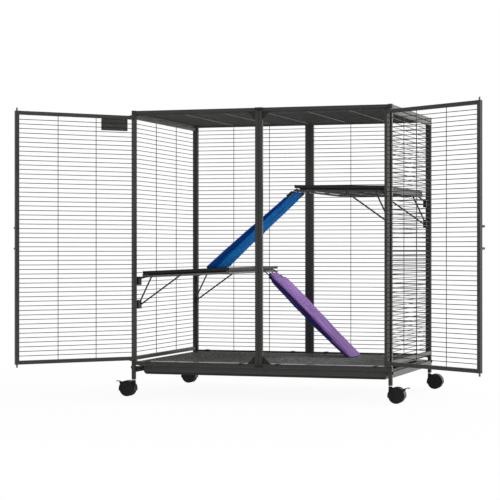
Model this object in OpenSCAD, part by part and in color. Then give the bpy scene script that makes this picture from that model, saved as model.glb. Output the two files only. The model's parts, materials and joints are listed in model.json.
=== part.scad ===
// Two-level ferret cage: welded square-tube panels with wire grilles, two tall front doors,
// two hung shelves, two padded ramps, a slide-out pan and four twin-wheel swivel casters.
// Origin: on the floor below the centre of the cage. +X right, +Y back, +Z up. Millimetres.

/* [Cage] */
// Overall width of the frame, left to right
cage_w = 914; // [880:1:1000]
// Overall depth of the frame, front to back
cage_d = 635; // [610:1:700]
// Height of the frame's top above the floor
cage_h = 978; // [960:1:1100]
// Side of the square steel tube
tube = 12.7; // [11.5:0.1:15]
// Wall of the square tube
tube_wall = 1.2; // [0.9:0.1:1.6]
// Radius of the tube's outer corners
tube_corner = 1.5; // [0.8:0.1:2]
// Underside of the front base rail above the floor
base_rail_z = 107; // [104:0.5:110]
// Underside of the side panels' bottom rail above the floor
side_rail_z = 124; // [121:0.5:140]
// Underside of the back panels' bottom rail above the floor
back_rail_z = 112.8; // [110:0.1:118]
// Underside of the runner rail that carries the pan
runner_rail_z = 82.5; // [80:0.5:88]
// Height of the runner rail
runner_rail_h = 19; // [14:0.5:20]
// Width of the back panels' outer stile
back_stile_w = 7.5; // [6:0.1:10]
// Width of the back panels' stiles at the middle
back_centre_w = 16; // [12.7:0.1:18]
// Gap between the top panel's frame and the side panels' top rails
top_rail_gap = 2; // [0.5:0.1:4]

/* [Wire] */
// Diameter of the grille wire
wire_d = 2.3; // [1.8:0.1:3]
// Target spacing of the level wires
wire_pitch = 15; // [12:0.5:25]
// Upright wires in each door, side and back grille
grille_uprights = 2; // [1:1:4]
// Distance between the cross wires of the top grille
top_cross_pitch = 146; // [100:1:200]
// Distance between the cross wires of the floor grilles
floor_cross_pitch = 73; // [50:1:110]
// Depth of the flat bar round each floor grille
floor_border = 30; // [20:1:40]
// Thickness of the floor grille's flat bar
floor_bar_t = 3; // [2.5:0.1:4]

/* [Front] */
// Side of the dark triangular gussets at the centre post
gusset_w = 28; // [20:1:36]
// Thickness of a gusset
gusset_t = 2.5; // [2:0.1:4]
// Thickness of the hinge brackets and the bolt keepers
bracket_t = 2.5; // [2:0.1:3]
// Thickness of the caps on the posts
cap_t = 1.2; // [1:0.1:5]

/* [Doors] */
// Gap between the two closed doors
door_gap = 1.7; // [0.5:0.1:6]
// Distance from the top of the doors to the top of the frame
door_top_gap = 18.5; // [15:0.5:30]
// Underside of the doors above the floor
door_z = 124.5; // [124.3:0.1:125.5]
// Distance from a door's hinge axis to the front of the posts
door_offset = 8.8; // [8.6:0.1:9.5]
// Distance from a door's hinge axis to the side of the cage
pivot_inset = 15; // [11:0.5:16]
// How far the left door stands open
left_door_open = 130.8; // [90:0.1:170]
// How far the right door stands open
right_door_open = 143.7; // [90:0.1:170]
// Diameter of a hinge pin
pin_d = 6; // [4:0.5:7]
// Length of a hinge pin inside the stile
pin_len = 14; // [8:1:20]
// Diameter of a slide bolt
bolt_d = 6; // [4:0.5:7]
// How far a slide bolt stands out of its door at rest
bolt_out = 10; // [6:0.5:10.5]
// Travel of a slide bolt
bolt_travel = 12; // [9:0.5:16]
// Height of the upper bolt's knob
top_knob_z = 574; // [540:1:640]
// Height of the lower bolt's knob
bottom_knob_z = 506; // [440:1:530]
// Diameter of a bolt's knob
knob_d = 7.5; // [7:0.5:18]
// Width of the bare name plate on the left door
plate_w = 100; // [60:1:130]
// Height of the bare name plate
plate_h = 40; // [30:1:60]
// Distance from the hinge axis to the name plate
plate_x = 26; // [10:1:60]

/* [Shelves] */
// Width of a shelf, from its post end to its free end
shelf_w = 316; // [280:1:330]
// Distance from a shelf's side bars to the front and the back of the cage
shelf_inset = 32.5; // [30:0.5:45]
// Thickness of a shelf with its frame
shelf_t = 22.5; // [21:0.1:28]
// Height of the tray's lip
tray_lip_h = 10; // [8:0.5:11]
// Wall of the tray's lip
tray_wall = 3; // [2:0.1:4]
// Inset of the tray's skirt from its edge
skirt_inset = 16; // [13:0.5:20]
// Side of the shelf frame's bars
shelf_bar = 7; // [6:0.1:7.5]
// Distance from a shelf's post end to the side of the cage
shelf_post_inset = 27; // [25:0.5:32]
// Height of the lower shelf's tray at its post end
lower_shelf_z = 428.5; // [400:0.5:480]
// Rise of the lower shelf towards its free end
lower_shelf_rise = 14; // [1:0.5:18]
// Height of the upper shelf's tray at its post end
upper_shelf_z = 714; // [690:0.5:780]
// Rise of the upper shelf towards its free end
upper_shelf_rise = 5; // [1:0.5:14]
// Diameter of the hanger wires
hanger_d = 5.4; // [4:0.1:6]
// Height of a hanger clip
clip_h = 29; // [26:0.5:32]
// Width of a hanger clip
clip_w = 13; // [12:0.1:13.5]

/* [Ramps] */
// Width of a ramp
ramp_w = 150; // [130:1:155]
// Diameter of the ramp frame's wire
ramp_wire_d = 4; // [3.5:0.1:4.2]
// Distance from the upper ramp's hinge to its cover
upper_ramp_reach = 38; // [34:0.5:44]
// Length of the upper ramp's padded cover
upper_ramp_len = 369; // [340:1:380]
// Thickness of the upper ramp's cover at its ends
upper_pad_t = 13.5; // [12:0.1:18]
// Height of the upper ramp's cover above the line through its hinge
upper_pad_low = -3; // [-5:0.1:0]
// How far the upper ramp's cover bellies out below
upper_pad_belly = 2; // [0.5:0.1:8]
// How far the upper ramp's cover is crowned above
upper_pad_crown = 1; // [0.5:0.1:6]
// Distance from the lower ramp's hinge to its cover
lower_ramp_reach = 42; // [34:0.5:50]
// Length of the lower ramp's padded cover
lower_ramp_len = 395; // [360:1:400]
// Thickness of the lower ramp's cover at its ends
lower_pad_t = 15; // [12:0.1:18]
// Height of the lower ramp's cover above the line through its hinge
lower_pad_low = -2; // [-4:0.1:0]
// How far the lower ramp's cover bellies out below
lower_pad_belly = 6.5; // [0.5:0.1:8]
// How far the lower ramp's cover is crowned above
lower_pad_crown = 3.5; // [0.5:0.1:6]
// Width of the tab at the top of a ramp's cover
tab_w = 100; // [60:1:104]
// Length of the tab
tab_len = 25; // [10:0.5:26]
// Distance from the upper shelf's front edge to the middle of its ramp
upper_ramp_inset = 85; // [80:1:105]
// Distance from the lower shelf's rear edge to the middle of its ramp
lower_ramp_inset = 114; // [85:1:135]

/* [Pan] */
// Distance from the pan's side wall to the side of the cage
pan_side_gap = 29; // [27:0.5:33]
// Distance from the front of the cage to the pan
pan_front_gap = 42.5; // [20:0.5:60]
// Distance from the back of the cage to the pan
pan_rear_gap = 27.5; // [18:0.5:40]
// Underside of the pan above the floor
pan_z = 74; // [70:0.5:78]
// Height of the bevel round the pan's bottom
pan_bevel = 8.5; // [6:0.5:13]
// Sheet thickness of the pan and its runners
sheet = 1.5; // [1:0.1:2]

/* [Casters] */
// Radius of a caster wheel
wheel_r = 26; // [24:0.1:26.2]
// Distance from a caster's stem to its axle
trail = 21; // [18:0.5:23]
// Width of a caster over both wheels
caster_w = 33; // [30:0.5:38]
// Width of the housing's core between the wheels
core_w = 13; // [12:0.1:15]
// Radius of the hood over the wheels
hood_r = 28.5; // [28.4:0.1:30]
// Height of the hood's lower edge above the floor
hood_z = 19; // [14:0.5:24]
// Radius of the caster's neck
neck_r = 7; // [6.5:0.5:15]
// Top of the neck above the floor
neck_z = 54.5; // [54:0.1:56]
// Height of the metal collar between neck and leg
collar_h = 4; // [3:0.1:6]
// Diameter of the caster's stem
stem_d = 8; // [7:0.1:9]
// Length of the stem inside the leg
stem_in_leg = 20; // [12:1:24]
// Diameter of the axle
axle_d = 6; // [5:0.1:7]
// Reach of a brake lever past its pin
lever_len = 20; // [16:0.5:26]

/* [Hidden] */
$fn = 48;
wire_sides = 16;

seat = 0.05;                 // gap between pieces that are welded or lie on each other
run = 0.05;                  // radial clearance of a shaft in its bore
rest_gap = 0.3;              // gap under a part that lies loose on another
leg_x = cage_w / 2 - tube / 2;
leg_y = cage_d / 2 - tube / 2;
inner_x = cage_w / 2 - tube; // inner face of the legs
inner_y = cage_d / 2 - tube;
leg_z = neck_z + collar_h;   // bottom of the legs
rail_under = cage_h - tube;  // underside of the top rails
rail_mid = cage_h - tube / 2;
side_top_z = rail_under - top_rail_gap; // top of the side panels' top rails
floor_z = base_rail_z + tube;
pivot_x = cage_w / 2 - pivot_inset;
pivot_y = -cage_d / 2 - door_offset;
door_w = pivot_x + (tube - door_gap) / 2;
door_top = cage_h - door_top_gap;
door_h = door_top - door_z;
plug_in = 2 * tube_wall + 2 * seat;
plug_w = tube - plug_in;
plug_h = 12;
panel_bolt_z = runner_rail_z + runner_rail_h - 2.5;
panel_bolt_d = 6;
panel_head_d = 10;
shelf_d = cage_d - 2 * shelf_inset;
shelf_post_x = cage_w / 2 - shelf_post_inset;
shelf_rod_r = shelf_bar / 2;
bar_mid = -(shelf_t - shelf_rod_r);
hanger_y = shelf_d / 2 + hanger_d / 2 + seat;
floor_half_w = inner_x - 1.3;
pan_half_w = cage_w / 2 - pan_side_gap;
ledge_w = inner_x - pan_half_w - 3;
ledge_z = runner_rail_z + runner_rail_h - sheet;
pan_rim_z = ledge_z + rest_gap;
pan_front_y = pan_front_gap - cage_d / 2;
pan_rear_y = cage_d / 2 - pan_rear_gap;

// ---------- shared shapes ----------

module tube_profile(w, h) {
    r = tube_corner;
    difference() {
        union() {
            square([w, h - 2 * r], center = true);
            square([w - 2 * r, h], center = true);
            for (x = [-1, 1], y = [-1, 1])
                translate([x * (w / 2 - r), y * (h / 2 - r)])
                    circle(r = r, $fn = 16);
        }
        square([w - 2 * tube_wall, h - 2 * tube_wall], center = true);
    }
}

// Square tube standing on its end at the origin
module post(len, w = tube, h = tube) {
    linear_extrude(height = len)
        tube_profile(w, h);
}

// Tube along X from x0 to x1, centred on y and z
module rail_x(x0, x1, y, z, h = tube) {
    translate([x0, y, z])
        rotate([0, 90, 0])
            post(x1 - x0, h, tube);
}

// Tube along Y, centred on the cage
module rail_y(x, z, h = tube) {
    len = 2 * (inner_y - seat);
    translate([x, len / 2, z])
        rotate([90, 0, 0])
            post(len, tube, h);
}

// Round rod from point a to point b
module rod(a, b, d) {
    v = b - a;
    len = norm(v);
    turn = atan2(v[1], v[0]);
    lean = acos(v[2] / len);
    translate(a)
        rotate([0, lean, turn])
            cylinder(d = d, h = len, $fn = 24);
}

// Welded grille in the XZ plane: level wires across the width, uprights behind them
module grille(width, height, uprights = grille_uprights) {
    gaps = round(height / wire_pitch);
    for (i = [1:gaps - 1])
        translate([seat, 0, i * height / gaps])
            rotate([0, 90, 0])
                cylinder(d = wire_d, h = width - 2 * seat, $fn = wire_sides);
    for (i = [1:uprights])
        translate([i * width / (uprights + 1), wire_d + seat, seat])
            cylinder(d = wire_d, h = height - 2 * seat, $fn = wire_sides);
}

module on_side(side) {
    mirror([side < 0 ? 1 : 0, 0, 0])
        children();
}

// ---------- side panels ----------

module side_frame(side) {
    color("#4b4d4a")
        on_side(side) {
            for (y = [-leg_y, leg_y])
                difference() {
                    translate([leg_x, y, leg_z])
                        post(cage_h - leg_z);
                    translate([leg_x - tube, y, panel_bolt_z])
                        rotate([0, 90, 0])
                            cylinder(d = panel_bolt_d + 2 * run, h = 2 * tube);
                }
            rail_y(leg_x, side_top_z - tube / 2);
            rail_y(leg_x, side_rail_z + tube / 2);
            rail_y(leg_x, runner_rail_z + runner_rail_h / 2, runner_rail_h);
        }
}

module side_wires(side) {
    low = side_rail_z + tube;
    color("#5a5c59")
        on_side(side)
            translate([leg_x, -inner_y, low])
                rotate([0, 0, 90])
                    grille(2 * inner_y, side_top_z - tube - low);
}

// ---------- back panels ----------

module back_frame(side) {
    outer = inner_x - seat;
    stile_mid = outer - back_stile_w / 2;
    stile_in = outer - back_stile_w - seat;
    low = back_rail_z;
    color("#4b4d4a")
        on_side(side) {
            translate([stile_mid, leg_y, low])
                post(cage_h - low, back_stile_w, tube);
            translate([back_centre_w / 2 + seat, leg_y, low])
                post(cage_h - low, back_centre_w, tube);
            for (z = [rail_mid, low + tube / 2])
                rail_x(back_centre_w + 2 * seat, stile_in, leg_y, z);
        }
}

module back_wires(side) {
    left = back_centre_w + seat;
    width = inner_x - back_stile_w - left - seat;
    low = back_rail_z + tube;
    color("#5a5c59")
        on_side(side)
            translate([left, leg_y, low])
                grille(width, rail_under - low);
}

// ---------- front ----------

module front_frame(side) {
    color("#484a48")
        on_side(side) {
            translate([tube / 2 + seat, -leg_y, base_rail_z])
                post(cage_h - base_rail_z);
            rail_x(tube + 2 * seat, inner_x - seat, -leg_y, rail_mid);
            rail_x(tube + 2 * seat, inner_x - seat, -leg_y, base_rail_z + tube / 2);
        }
}

module front_gussets() {
    in = tube + 2 * seat;
    corner = [[0, 0], [gusset_w, 0], [0, gusset_w]];
    color("#1c1d1c")
        for (side = [-1, 1], up = [0, 1])
            on_side(side)
                translate([in, -leg_y - gusset_t / 2, up ? rail_under - seat : floor_z + seat])
                    mirror([0, 0, up])
                        translate([0, gusset_t, 0])
                            rotate([90, 0, 0])
                                linear_extrude(height = gusset_t)
                                    polygon(corner);
}

module post_caps() {
    places = concat(
        [for (x = [-leg_x, leg_x], y = [-leg_y, leg_y]) [x, y, tube]],
        [for (side = [-1, 1]) [side * (tube / 2 + seat), -leg_y, tube]],
        [for (side = [-1, 1]) [side * (back_centre_w / 2 + seat), leg_y, back_centre_w]]
    );
    color("#1a1a1a")
        for (p = places)
            translate([p[0], p[1], cage_h]) {
                translate([0, 0, seat + cap_t / 2])
                    cube([p[2], tube, cap_t], center = true);
                translate([0, 0, seat - plug_h / 2])
                    cube([p[2] - plug_in, plug_w, plug_h], center = true);
            }
}

module panel_bolts() {
    shank = tube;
    head = 3;
    color("#1a1a1a")
        for (side = [-1, 1], y = [-leg_y, leg_y])
            on_side(side)
                translate([cage_w / 2 + seat, y, panel_bolt_z])
                    rotate([0, 90, 0]) {
                        cylinder(d = panel_head_d, h = head, $fn = 6);
                        translate([0, 0, -shank])
                            cylinder(d = panel_bolt_d, h = shank);
                    }
}

// Bracket plates on the front of the legs with the pins that the doors hang on
module hinge_brackets() {
    reach = door_offset + tube / 2 + 2;
    inward = cage_w / 2 - pivot_x + tube / 2 + 2;
    color("#333533")
        for (side = [-1, 1], up = [0, 1])
            on_side(side)
                translate([0, 0, up ? door_top + rest_gap : door_z - rest_gap])
                    mirror([0, 0, up ? 0 : 1]) {
                        translate([cage_w / 2 - inward, -cage_d / 2 - reach, 0])
                            cube([inward, reach - seat, bracket_t]);
                        translate([pivot_x, pivot_y, -pin_len])
                            cylinder(d = pin_d, h = pin_len + bracket_t);
                    }
}

// Plates on the centre post with the holes that the slide bolts are pushed into
module bolt_keepers() {
    reach = door_offset + tube / 2;
    half = bolt_x() + bolt_d;
    hole = bolt_d + 1;
    color("#1c1d1c")
        for (z = [keeper_top_z(), keeper_bottom_z()])
            difference() {
                translate([-half, -cage_d / 2 - reach, z])
                    cube([2 * half, reach - seat, bracket_t]);
                for (side = [-1, 1])
                    translate([side * bolt_x(), pivot_y, z - 1])
                        cylinder(d = hole, h = bracket_t + 2);
            }
}

// Distance of a closed door's bolt from the middle of the cage
function bolt_x() = pivot_x - (door_w - tube);
function keeper_top_z() = door_top + bolt_out + rest_gap + 1;
function keeper_bottom_z() = door_z - bolt_out - rest_gap - 1 - bracket_t;

// ---------- top and floor ----------

module top_frame() {
    color("#4b4d4a")
        for (side = [-1, 1])
            rail_y(side * leg_x, rail_mid);
}

module top_wires() {
    z = cage_h - 8;
    z_cross = z - wire_d - seat;
    border_h = 5;
    border_t = 2;
    span_y = inner_y - seat;
    rows = round(2 * inner_y / wire_pitch);
    pitch = 2 * inner_y / rows;
    color("#5a5c59") {
        for (i = [1:rows - 1])
            translate([-inner_x + seat, -inner_y + i * pitch, z])
                rotate([0, 90, 0])
                    cylinder(d = wire_d, h = 2 * (inner_x - seat), $fn = wire_sides);
        for (i = [-2:2])
            translate([i * top_cross_pitch, span_y, z_cross])
                rotate([90, 0, 0])
                    cylinder(d = wire_d, h = 2 * span_y, $fn = wire_sides);
        for (side = [-1, 1])
            translate([-inner_x + seat, side * (inner_y - seat - border_t / 2) - border_t / 2,
                       z_cross - wire_d / 2 - seat - border_h])
                cube([2 * (inner_x - seat), border_t, border_h]);
    }
}

module floor_grille(side) {
    x0 = seat;
    x1 = floor_half_w;
    y1 = inner_y - rest_gap;
    z = floor_z - floor_bar_t;
    z_wire = floor_z - wire_d / 2;
    z_cross = z_wire - wire_d - seat;
    inner_len = 2 * (y1 - floor_border);
    rows = round(inner_len / wire_pitch);
    columns = round((x1 - x0) / floor_cross_pitch);
    color("#555754")
        on_side(side) {
            for (y = [-y1, y1 - floor_border])
                translate([x0, y, z])
                    cube([x1 - x0, floor_border, floor_bar_t]);
            for (i = [1:rows - 1])
                translate([x0, -inner_len / 2 + i * inner_len / rows, z_wire])
                    rotate([0, 90, 0])
                        cylinder(d = wire_d, h = x1 - x0, $fn = wire_sides);
            for (i = [0:columns])
                translate([x0 + wire_d + i * (x1 - x0 - 2 * wire_d) / columns, inner_len / 2 - seat, z_cross])
                    rotate([90, 0, 0])
                        cylinder(d = wire_d, h = inner_len - 2 * seat, $fn = wire_sides);
        }
}

// Clips that hold the floor grilles on the front and back base rails
module grille_clips() {
    from_middle = 64;
    from_side = 43;
    half = 6;
    t = 1.5;
    color("#1c1d1c")
        for (side = [-1, 1], x = [from_middle, floor_half_w - from_side])
            on_side(side)
                translate([x - half, 0, 0]) {
                    grille_clip(floor_z, half, t);
                    mirror([0, 1, 0])
                        grille_clip(back_rail_z + tube, half, t);
                }
}

// Clip bent over a base rail whose top is at rail_top, onto the floor grille's flat bar
module grille_clip(rail_top, half, t) {
    over = 12;
    low = floor_z + seat;
    top = rail_top + seat;
    points = [
        [-cage_d / 2 - seat - t, top - 4], [-cage_d / 2 - seat, top - 4], [-cage_d / 2 - seat, top],
        [-inner_y + seat, top], [-inner_y + seat, low], [-inner_y + over, low],
        [-inner_y + over, low + t], [-inner_y + seat + t, low + t], [-inner_y + seat + t, top + t],
        [-cage_d / 2 - seat - t, top + t]
    ];
    flat = [
        [-cage_d / 2 - seat - t, top - 4], [-cage_d / 2 - seat, top - 4], [-cage_d / 2 - seat, top],
        [-inner_y + over, top], [-inner_y + over, top + t], [-cage_d / 2 - seat - t, top + t]
    ];
    rotate([90, 0, 90])
        linear_extrude(height = 2 * half)
            polygon(rail_top > floor_z + t ? points : flat);
}

// ---------- pan ----------

module pan_runners() {
    leaf = sheet;
    color("#4b4d4a")
        for (side = [-1, 1])
            on_side(side) {
                translate([inner_x - seat - leaf, -inner_y + 1, runner_rail_z + 1])
                    cube([leaf, 2 * inner_y - 2, runner_rail_h - 1]);
                translate([inner_x - seat - ledge_w, -inner_y + 1, ledge_z])
                    cube([ledge_w, 2 * inner_y - 2, sheet]);
            }
}

// Half section of the pan from its middle outwards, with its bevel
function pan_section(a, b, z0, z1, cut) = [
    [a + cut, z0], [b - cut, z0], [b, z0 + pan_bevel], [b, z1], [a, z1], [a, z0 + pan_bevel]
];

module pan_block(inset, z0, z1) {
    half = pan_half_w - inset;
    y0 = pan_front_y + inset;
    y1 = pan_rear_y - inset;
    slope = 6;
    intersection() {
        translate([0, y1, 0])
            rotate([90, 0, 0])
                linear_extrude(height = y1 - y0)
                    polygon(pan_section(-half, half, z0, z1, slope));
        translate([-half, 0, 0])
            rotate([90, 0, 90])
                linear_extrude(height = 2 * half)
                    polygon(pan_section(y0, y1, z0, z1, slope));
    }
}

module pan() {
    rim = inner_x - pan_half_w - 2.8;
    rim_z = pan_rim_z + sheet;
    color("#4a4a48")
        difference() {
            union() {
                pan_block(0, pan_z, rim_z + sheet);
                translate([-pan_half_w - rim, pan_front_y, rim_z])
                    cube([2 * (pan_half_w + rim), pan_rear_y - pan_front_y, sheet]);
            }
            pan_block(sheet, pan_z + sheet, rim_z + sheet + 1);
        }
}

// ---------- shelves ----------

// Place a shelf whose own frame starts at the tray's top on the post end, +X to its free end
module at_shelf(side, z, rise) {
    on_side(-side)
        translate([-shelf_post_x, 0, z])
            rotate([0, -asin(rise / shelf_w), 0])
                children();
}

module shelf_frame() {
    inside = shelf_d / 2 - shelf_bar;
    crosses = 3;
    color("#525452") {
        translate([0, -shelf_d / 2, -shelf_t])
            cube([shelf_bar, shelf_d, shelf_t - tray_lip_h - seat]);
        translate([shelf_w - shelf_rod_r, shelf_d / 2, bar_mid])
            rotate([90, 0, 0])
                cylinder(r = shelf_rod_r, h = shelf_d);
        for (y = [-shelf_d / 2, inside])
            translate([shelf_bar + seat, y, -shelf_t])
                cube([shelf_w - 2 * shelf_bar - 2 * seat, shelf_bar, shelf_bar]);
        for (i = [1:crosses])
            translate([i * shelf_w / (crosses + 1) - shelf_bar / 2, -inside + seat, -shelf_t])
                cube([shelf_bar, 2 * (inside - seat), shelf_bar]);
    }
}

module shelf_tray() {
    floor_t = 2.5;
    pocket = 1.5;
    skirt_h = shelf_t - shelf_bar - tray_lip_h - seat;
    skirt_w = shelf_w - 2 * skirt_inset;
    skirt_d = shelf_d - 2 * skirt_inset;
    color("#202121")
        difference() {
            union() {
                translate([0, -shelf_d / 2, -tray_lip_h])
                    linear_extrude(height = tray_lip_h)
                        rounded_plate(shelf_w, shelf_d, 6);
                translate([skirt_inset, -skirt_d / 2, -tray_lip_h - skirt_h])
                    cube([skirt_w, skirt_d, skirt_h + 1]);
            }
            translate([tray_wall, tray_wall - shelf_d / 2, -pocket])
                linear_extrude(height = pocket + 1)
                    rounded_plate(shelf_w - 2 * tray_wall, shelf_d - 2 * tray_wall, 4);
            translate([tray_wall, tray_wall - shelf_d / 2, -tray_lip_h - 1])
                difference() {
                    cube([shelf_w - 2 * tray_wall, shelf_d - 2 * tray_wall,
                          tray_lip_h - pocket - floor_t + 1]);
                    translate([skirt_inset - tray_wall, skirt_inset - tray_wall, -1])
                        cube([skirt_w, skirt_d, tray_lip_h + 2]);
                }
            translate([skirt_inset + tray_wall, tray_wall - skirt_d / 2, -shelf_t])
                cube([skirt_w - 2 * tray_wall, skirt_d - 2 * tray_wall, shelf_t - pocket - floor_t]);
        }
}

module rounded_plate(w, d, r) {
    translate([r, 0])
        square([w - 2 * r, d]);
    translate([0, r])
        square([w, d - 2 * r]);
    for (x = [r, w - r], y = [r, d - r])
        translate([x, y])
            circle(r = r, $fn = 32);
}

// Hanger wires of a shelf in the plane beside its side bars; x from the middle, z from the tray's top
module hanger_wires(z, rise, hook_z, foot_z, d) {
    slope = rise / shelf_w;
    hook_x = shelf_post_x - 18;
    steep_x = shelf_post_x - 36;
    long_x = shelf_post_x - 141;
    in_clip = inner_x - clip_w / 2;
    for (y = [-hanger_y, hanger_y]) {
        rod([-hook_x, y, z + bar_mid + slope * (shelf_post_x - hook_x)],
            [-in_clip, y, z + hook_z + clip_h / 4], d);
        rod([-steep_x, y, z + bar_mid + slope * (shelf_post_x - steep_x)],
            [-in_clip, y, z + foot_z + clip_h / 4], d);
        rod([-long_x, y, z + bar_mid + slope * (shelf_post_x - long_x)],
            [-in_clip, y, z + foot_z - clip_h / 8], d);
    }
}

module shelf_hangers(side, z, rise, hook_z, foot_z) {
    color("#4b4d4a")
        on_side(-side)
            hanger_wires(z, rise, hook_z, foot_z, hanger_d);
}

// Black clips on the legs (front) and on the back stiles (rear) that hold the hanger wires
module shelf_clips(side, z, rise, hook_z, foot_z) {
    color("#1c1d1c")
        on_side(-side)
            difference() {
                for (front = [0, 1], clip_z = [hook_z, foot_z])
                    mirror([0, front, 0])
                        translate([-inner_x + seat, shelf_d / 2 + seat, z + clip_z - clip_h / 2])
                            linear_extrude(height = clip_h)
                                rounded_plate(clip_w, (front ? cage_d / 2 - 1.5 : inner_y - seat)
                                              - shelf_d / 2 - seat, 3);
                hanger_wires(z, rise, hook_z, foot_z, hanger_d + 2 * run);
            }
}

lower_hook_z = -33;
lower_foot_z = -113.5;
upper_hook_z = -44.5;
upper_foot_z = -118;

// ---------- ramps ----------

hook_r = shelf_rod_r + 0.08 + ramp_wire_d / 2;
ramp_inset = 12;
ramp_rungs = 5;
side_wire_y = ramp_w / 2 - ramp_inset;
tab_t = 9;
tab_step = 0.7;
tab_in = 12;                 // length of the tab inside the cover
end_share = 0.75;            // share of a cover's thickness at its very end
upper_ramp_y = upper_ramp_inset - shelf_d / 2;
lower_ramp_y = shelf_d / 2 - lower_ramp_inset;

// Middle of a shelf's free-end rod, x from the middle of the cage
function hinge_x(rise) = shelf_post_x - (shelf_w - shelf_rod_r) * cos(asin(rise / shelf_w))
    + bar_mid * rise / shelf_w;
function hinge_z(z, rise) = z + (shelf_w - shelf_rod_r) * rise / shelf_w
    + bar_mid * cos(asin(rise / shelf_w));

// Height of the lower edge of a cover's foot, square to the ramp
function foot_low(low, t) = low + t / 2 * (1 - end_share);

// Slope of a ramp whose foot's lower edge, len along and low up, lies on a ground that is tilted
// by tilt; drop is the height of the hinge above the ground's plane below the hinge
function ramp_slope(drop, len, low, tilt = 0) =
    tilt + asin(drop * cos(tilt) / norm([len, low])) + atan(low / len);

upper_hinge_x = hinge_x(upper_shelf_rise);
upper_hinge_z = hinge_z(upper_shelf_z, upper_shelf_rise);
lower_hinge_x = hinge_x(lower_shelf_rise);
lower_hinge_z = hinge_z(lower_shelf_z, lower_shelf_rise);
// The upper ramp's foot stands on the lower shelf's tray, whose plane runs on below the hinge
landing_tilt = asin(lower_shelf_rise / shelf_w);
landing_z = lower_shelf_z + (shelf_post_x + upper_hinge_x) * tan(landing_tilt);
upper_slope = ramp_slope(upper_hinge_z - landing_z - rest_gap, upper_ramp_reach + upper_ramp_len,
                         foot_low(upper_pad_low, upper_pad_t), landing_tilt);
lower_slope = ramp_slope(lower_hinge_z - floor_z - rest_gap, lower_ramp_reach + lower_ramp_len,
                         foot_low(lower_pad_low, lower_pad_t));

// Place a ramp whose own frame starts on its hinge axis, +X down the slope
module at_ramp(side, x, y, z, slope) {
    on_side(-side)
        translate([-x, y, z])
            rotate([0, slope, 0])
                children();
}

// Distance of a ramp's cross wire from the hinge
function rung_u(i, reach, len) = reach + 10 + i * (len - ramp_inset - 16) / (ramp_rungs - 1);

module ramp_frame(reach, len) {
    foot = reach + len - ramp_inset;
    rung_half = side_wire_y - ramp_wire_d / 2 - seat;
    color("#4b4d4a") {
        for (side = [-1, 1])
            translate([0, side * side_wire_y, 0]) {
                translate([0, 0, hook_r])
                    rotate([0, 90, 0])
                        cylinder(d = ramp_wire_d, h = foot, $fn = 24);
                rotate([90, 0, 0])
                    rotate([0, 0, 90])
                        rotate_extrude(angle = 200)
                            translate([hook_r, 0])
                                circle(d = ramp_wire_d, $fn = 24);
            }
        for (i = [0:ramp_rungs - 1])
            translate([rung_u(i, reach, len), rung_half, hook_r])
                rotate([90, 0, 0])
                    cylinder(d = ramp_wire_d, h = 2 * rung_half, $fn = 24);
    }
}

// Padded cover: bellied below, crowned above, its sides drawn in between the ends
pad_rings = 18;
pad_sides = 24;
pad_round = 7;
pad_draw = 2;
function pad_end(s) = max(end_share, sqrt(1 - pow(max(0, 1 - s / pad_round), 2)));
function pad_ring(u, len, t, low, belly, crown) =
    let (near = pad_end(min(u, len - u)), swell = sin(180 * u / len))
    let (half = ramp_w / 2 - pad_draw * swell - pad_round * (1 - near) * 0.5)
    [for (k = [0:pad_sides - 1])
        let (a = 360 * (k + 0.5) / pad_sides, c = cos(a), s = sin(a))
        let (reach_z = t / 2 * near + (s > 0 ? crown : belly) * swell)
        [u,
         half * sign(c) * pow(abs(c), 0.4),
         low + t / 2 + reach_z * sign(s) * pow(abs(s), 0.5)]];
function pad_u(i, len) =
    i == 0 ? 0 :
    i == pad_rings - 1 ? len :
    i < 4 ? pad_round * i / 4 :
    i > pad_rings - 5 ? len - pad_round * (pad_rings - 1 - i) / 4 :
    pad_round + (len - 2 * pad_round) * (i - 4) / (pad_rings - 9);

module pad(len, t, low, belly, crown) {
    points = [for (i = [0:pad_rings - 1]) each pad_ring(pad_u(i, len), len, t, low, belly, crown)];
    walls = [for (i = [0:pad_rings - 2], k = [0:pad_sides - 1])
        let (a = i * pad_sides + k, b = i * pad_sides + (k + 1) % pad_sides)
        each [[a, a + pad_sides, b], [b, a + pad_sides, b + pad_sides]]];
    start = [for (k = [1:pad_sides - 2]) [0, k, k + 1]];
    last = (pad_rings - 1) * pad_sides;
    finish = [for (k = [1:pad_sides - 2]) [last, last + k + 1, last + k]];
    polyhedron(points = points, faces = concat(walls, start, finish));
}

// Cover with its tab, and the channels in it for the ramp's wires
module ramp_cover(reach, len, t, low, belly, crown, tint) {
    channel = ramp_wire_d + 2 * rest_gap;
    foot = reach + len - ramp_inset;
    color(tint)
        difference() {
            union() {
                translate([reach, 0, 0])
                    pad(len, t, low, belly, crown);
                translate([reach - tab_len, -tab_w / 2, low + t - tab_step - tab_t])
                    linear_extrude(height = tab_t)
                        rounded_plate(tab_len + tab_in, tab_w, 8);
            }
            for (side = [-1, 1])
                translate([-1, side * side_wire_y - channel / 2, hook_r - channel / 2])
                    cube([foot + rest_gap + 1, channel, channel]);
            for (i = [0:ramp_rungs - 1])
                translate([rung_u(i, reach, len) - channel / 2, -side_wire_y, hook_r - channel / 2])
                    cube([channel, 2 * side_wire_y, channel]);
        }
}

// Black clips round the side wires beside the tab; len is their length
module ramp_clips(reach, len) {
    w = 14;
    t = 10;
    color("#1c1d1c")
        for (side = [-1, 1])
            difference() {
                translate([reach - len - rest_gap, side * side_wire_y - w / 2, hook_r - t / 2])
                    cube([len, w, t]);
                translate([0, side * side_wire_y, hook_r])
                    rotate([0, 90, 0])
                        cylinder(d = ramp_wire_d + 2 * run, h = reach + 1);
            }
}

module upper_ramp() {
    at_ramp(1, upper_hinge_x, upper_ramp_y, upper_hinge_z, upper_slope)
        children();
}

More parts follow.
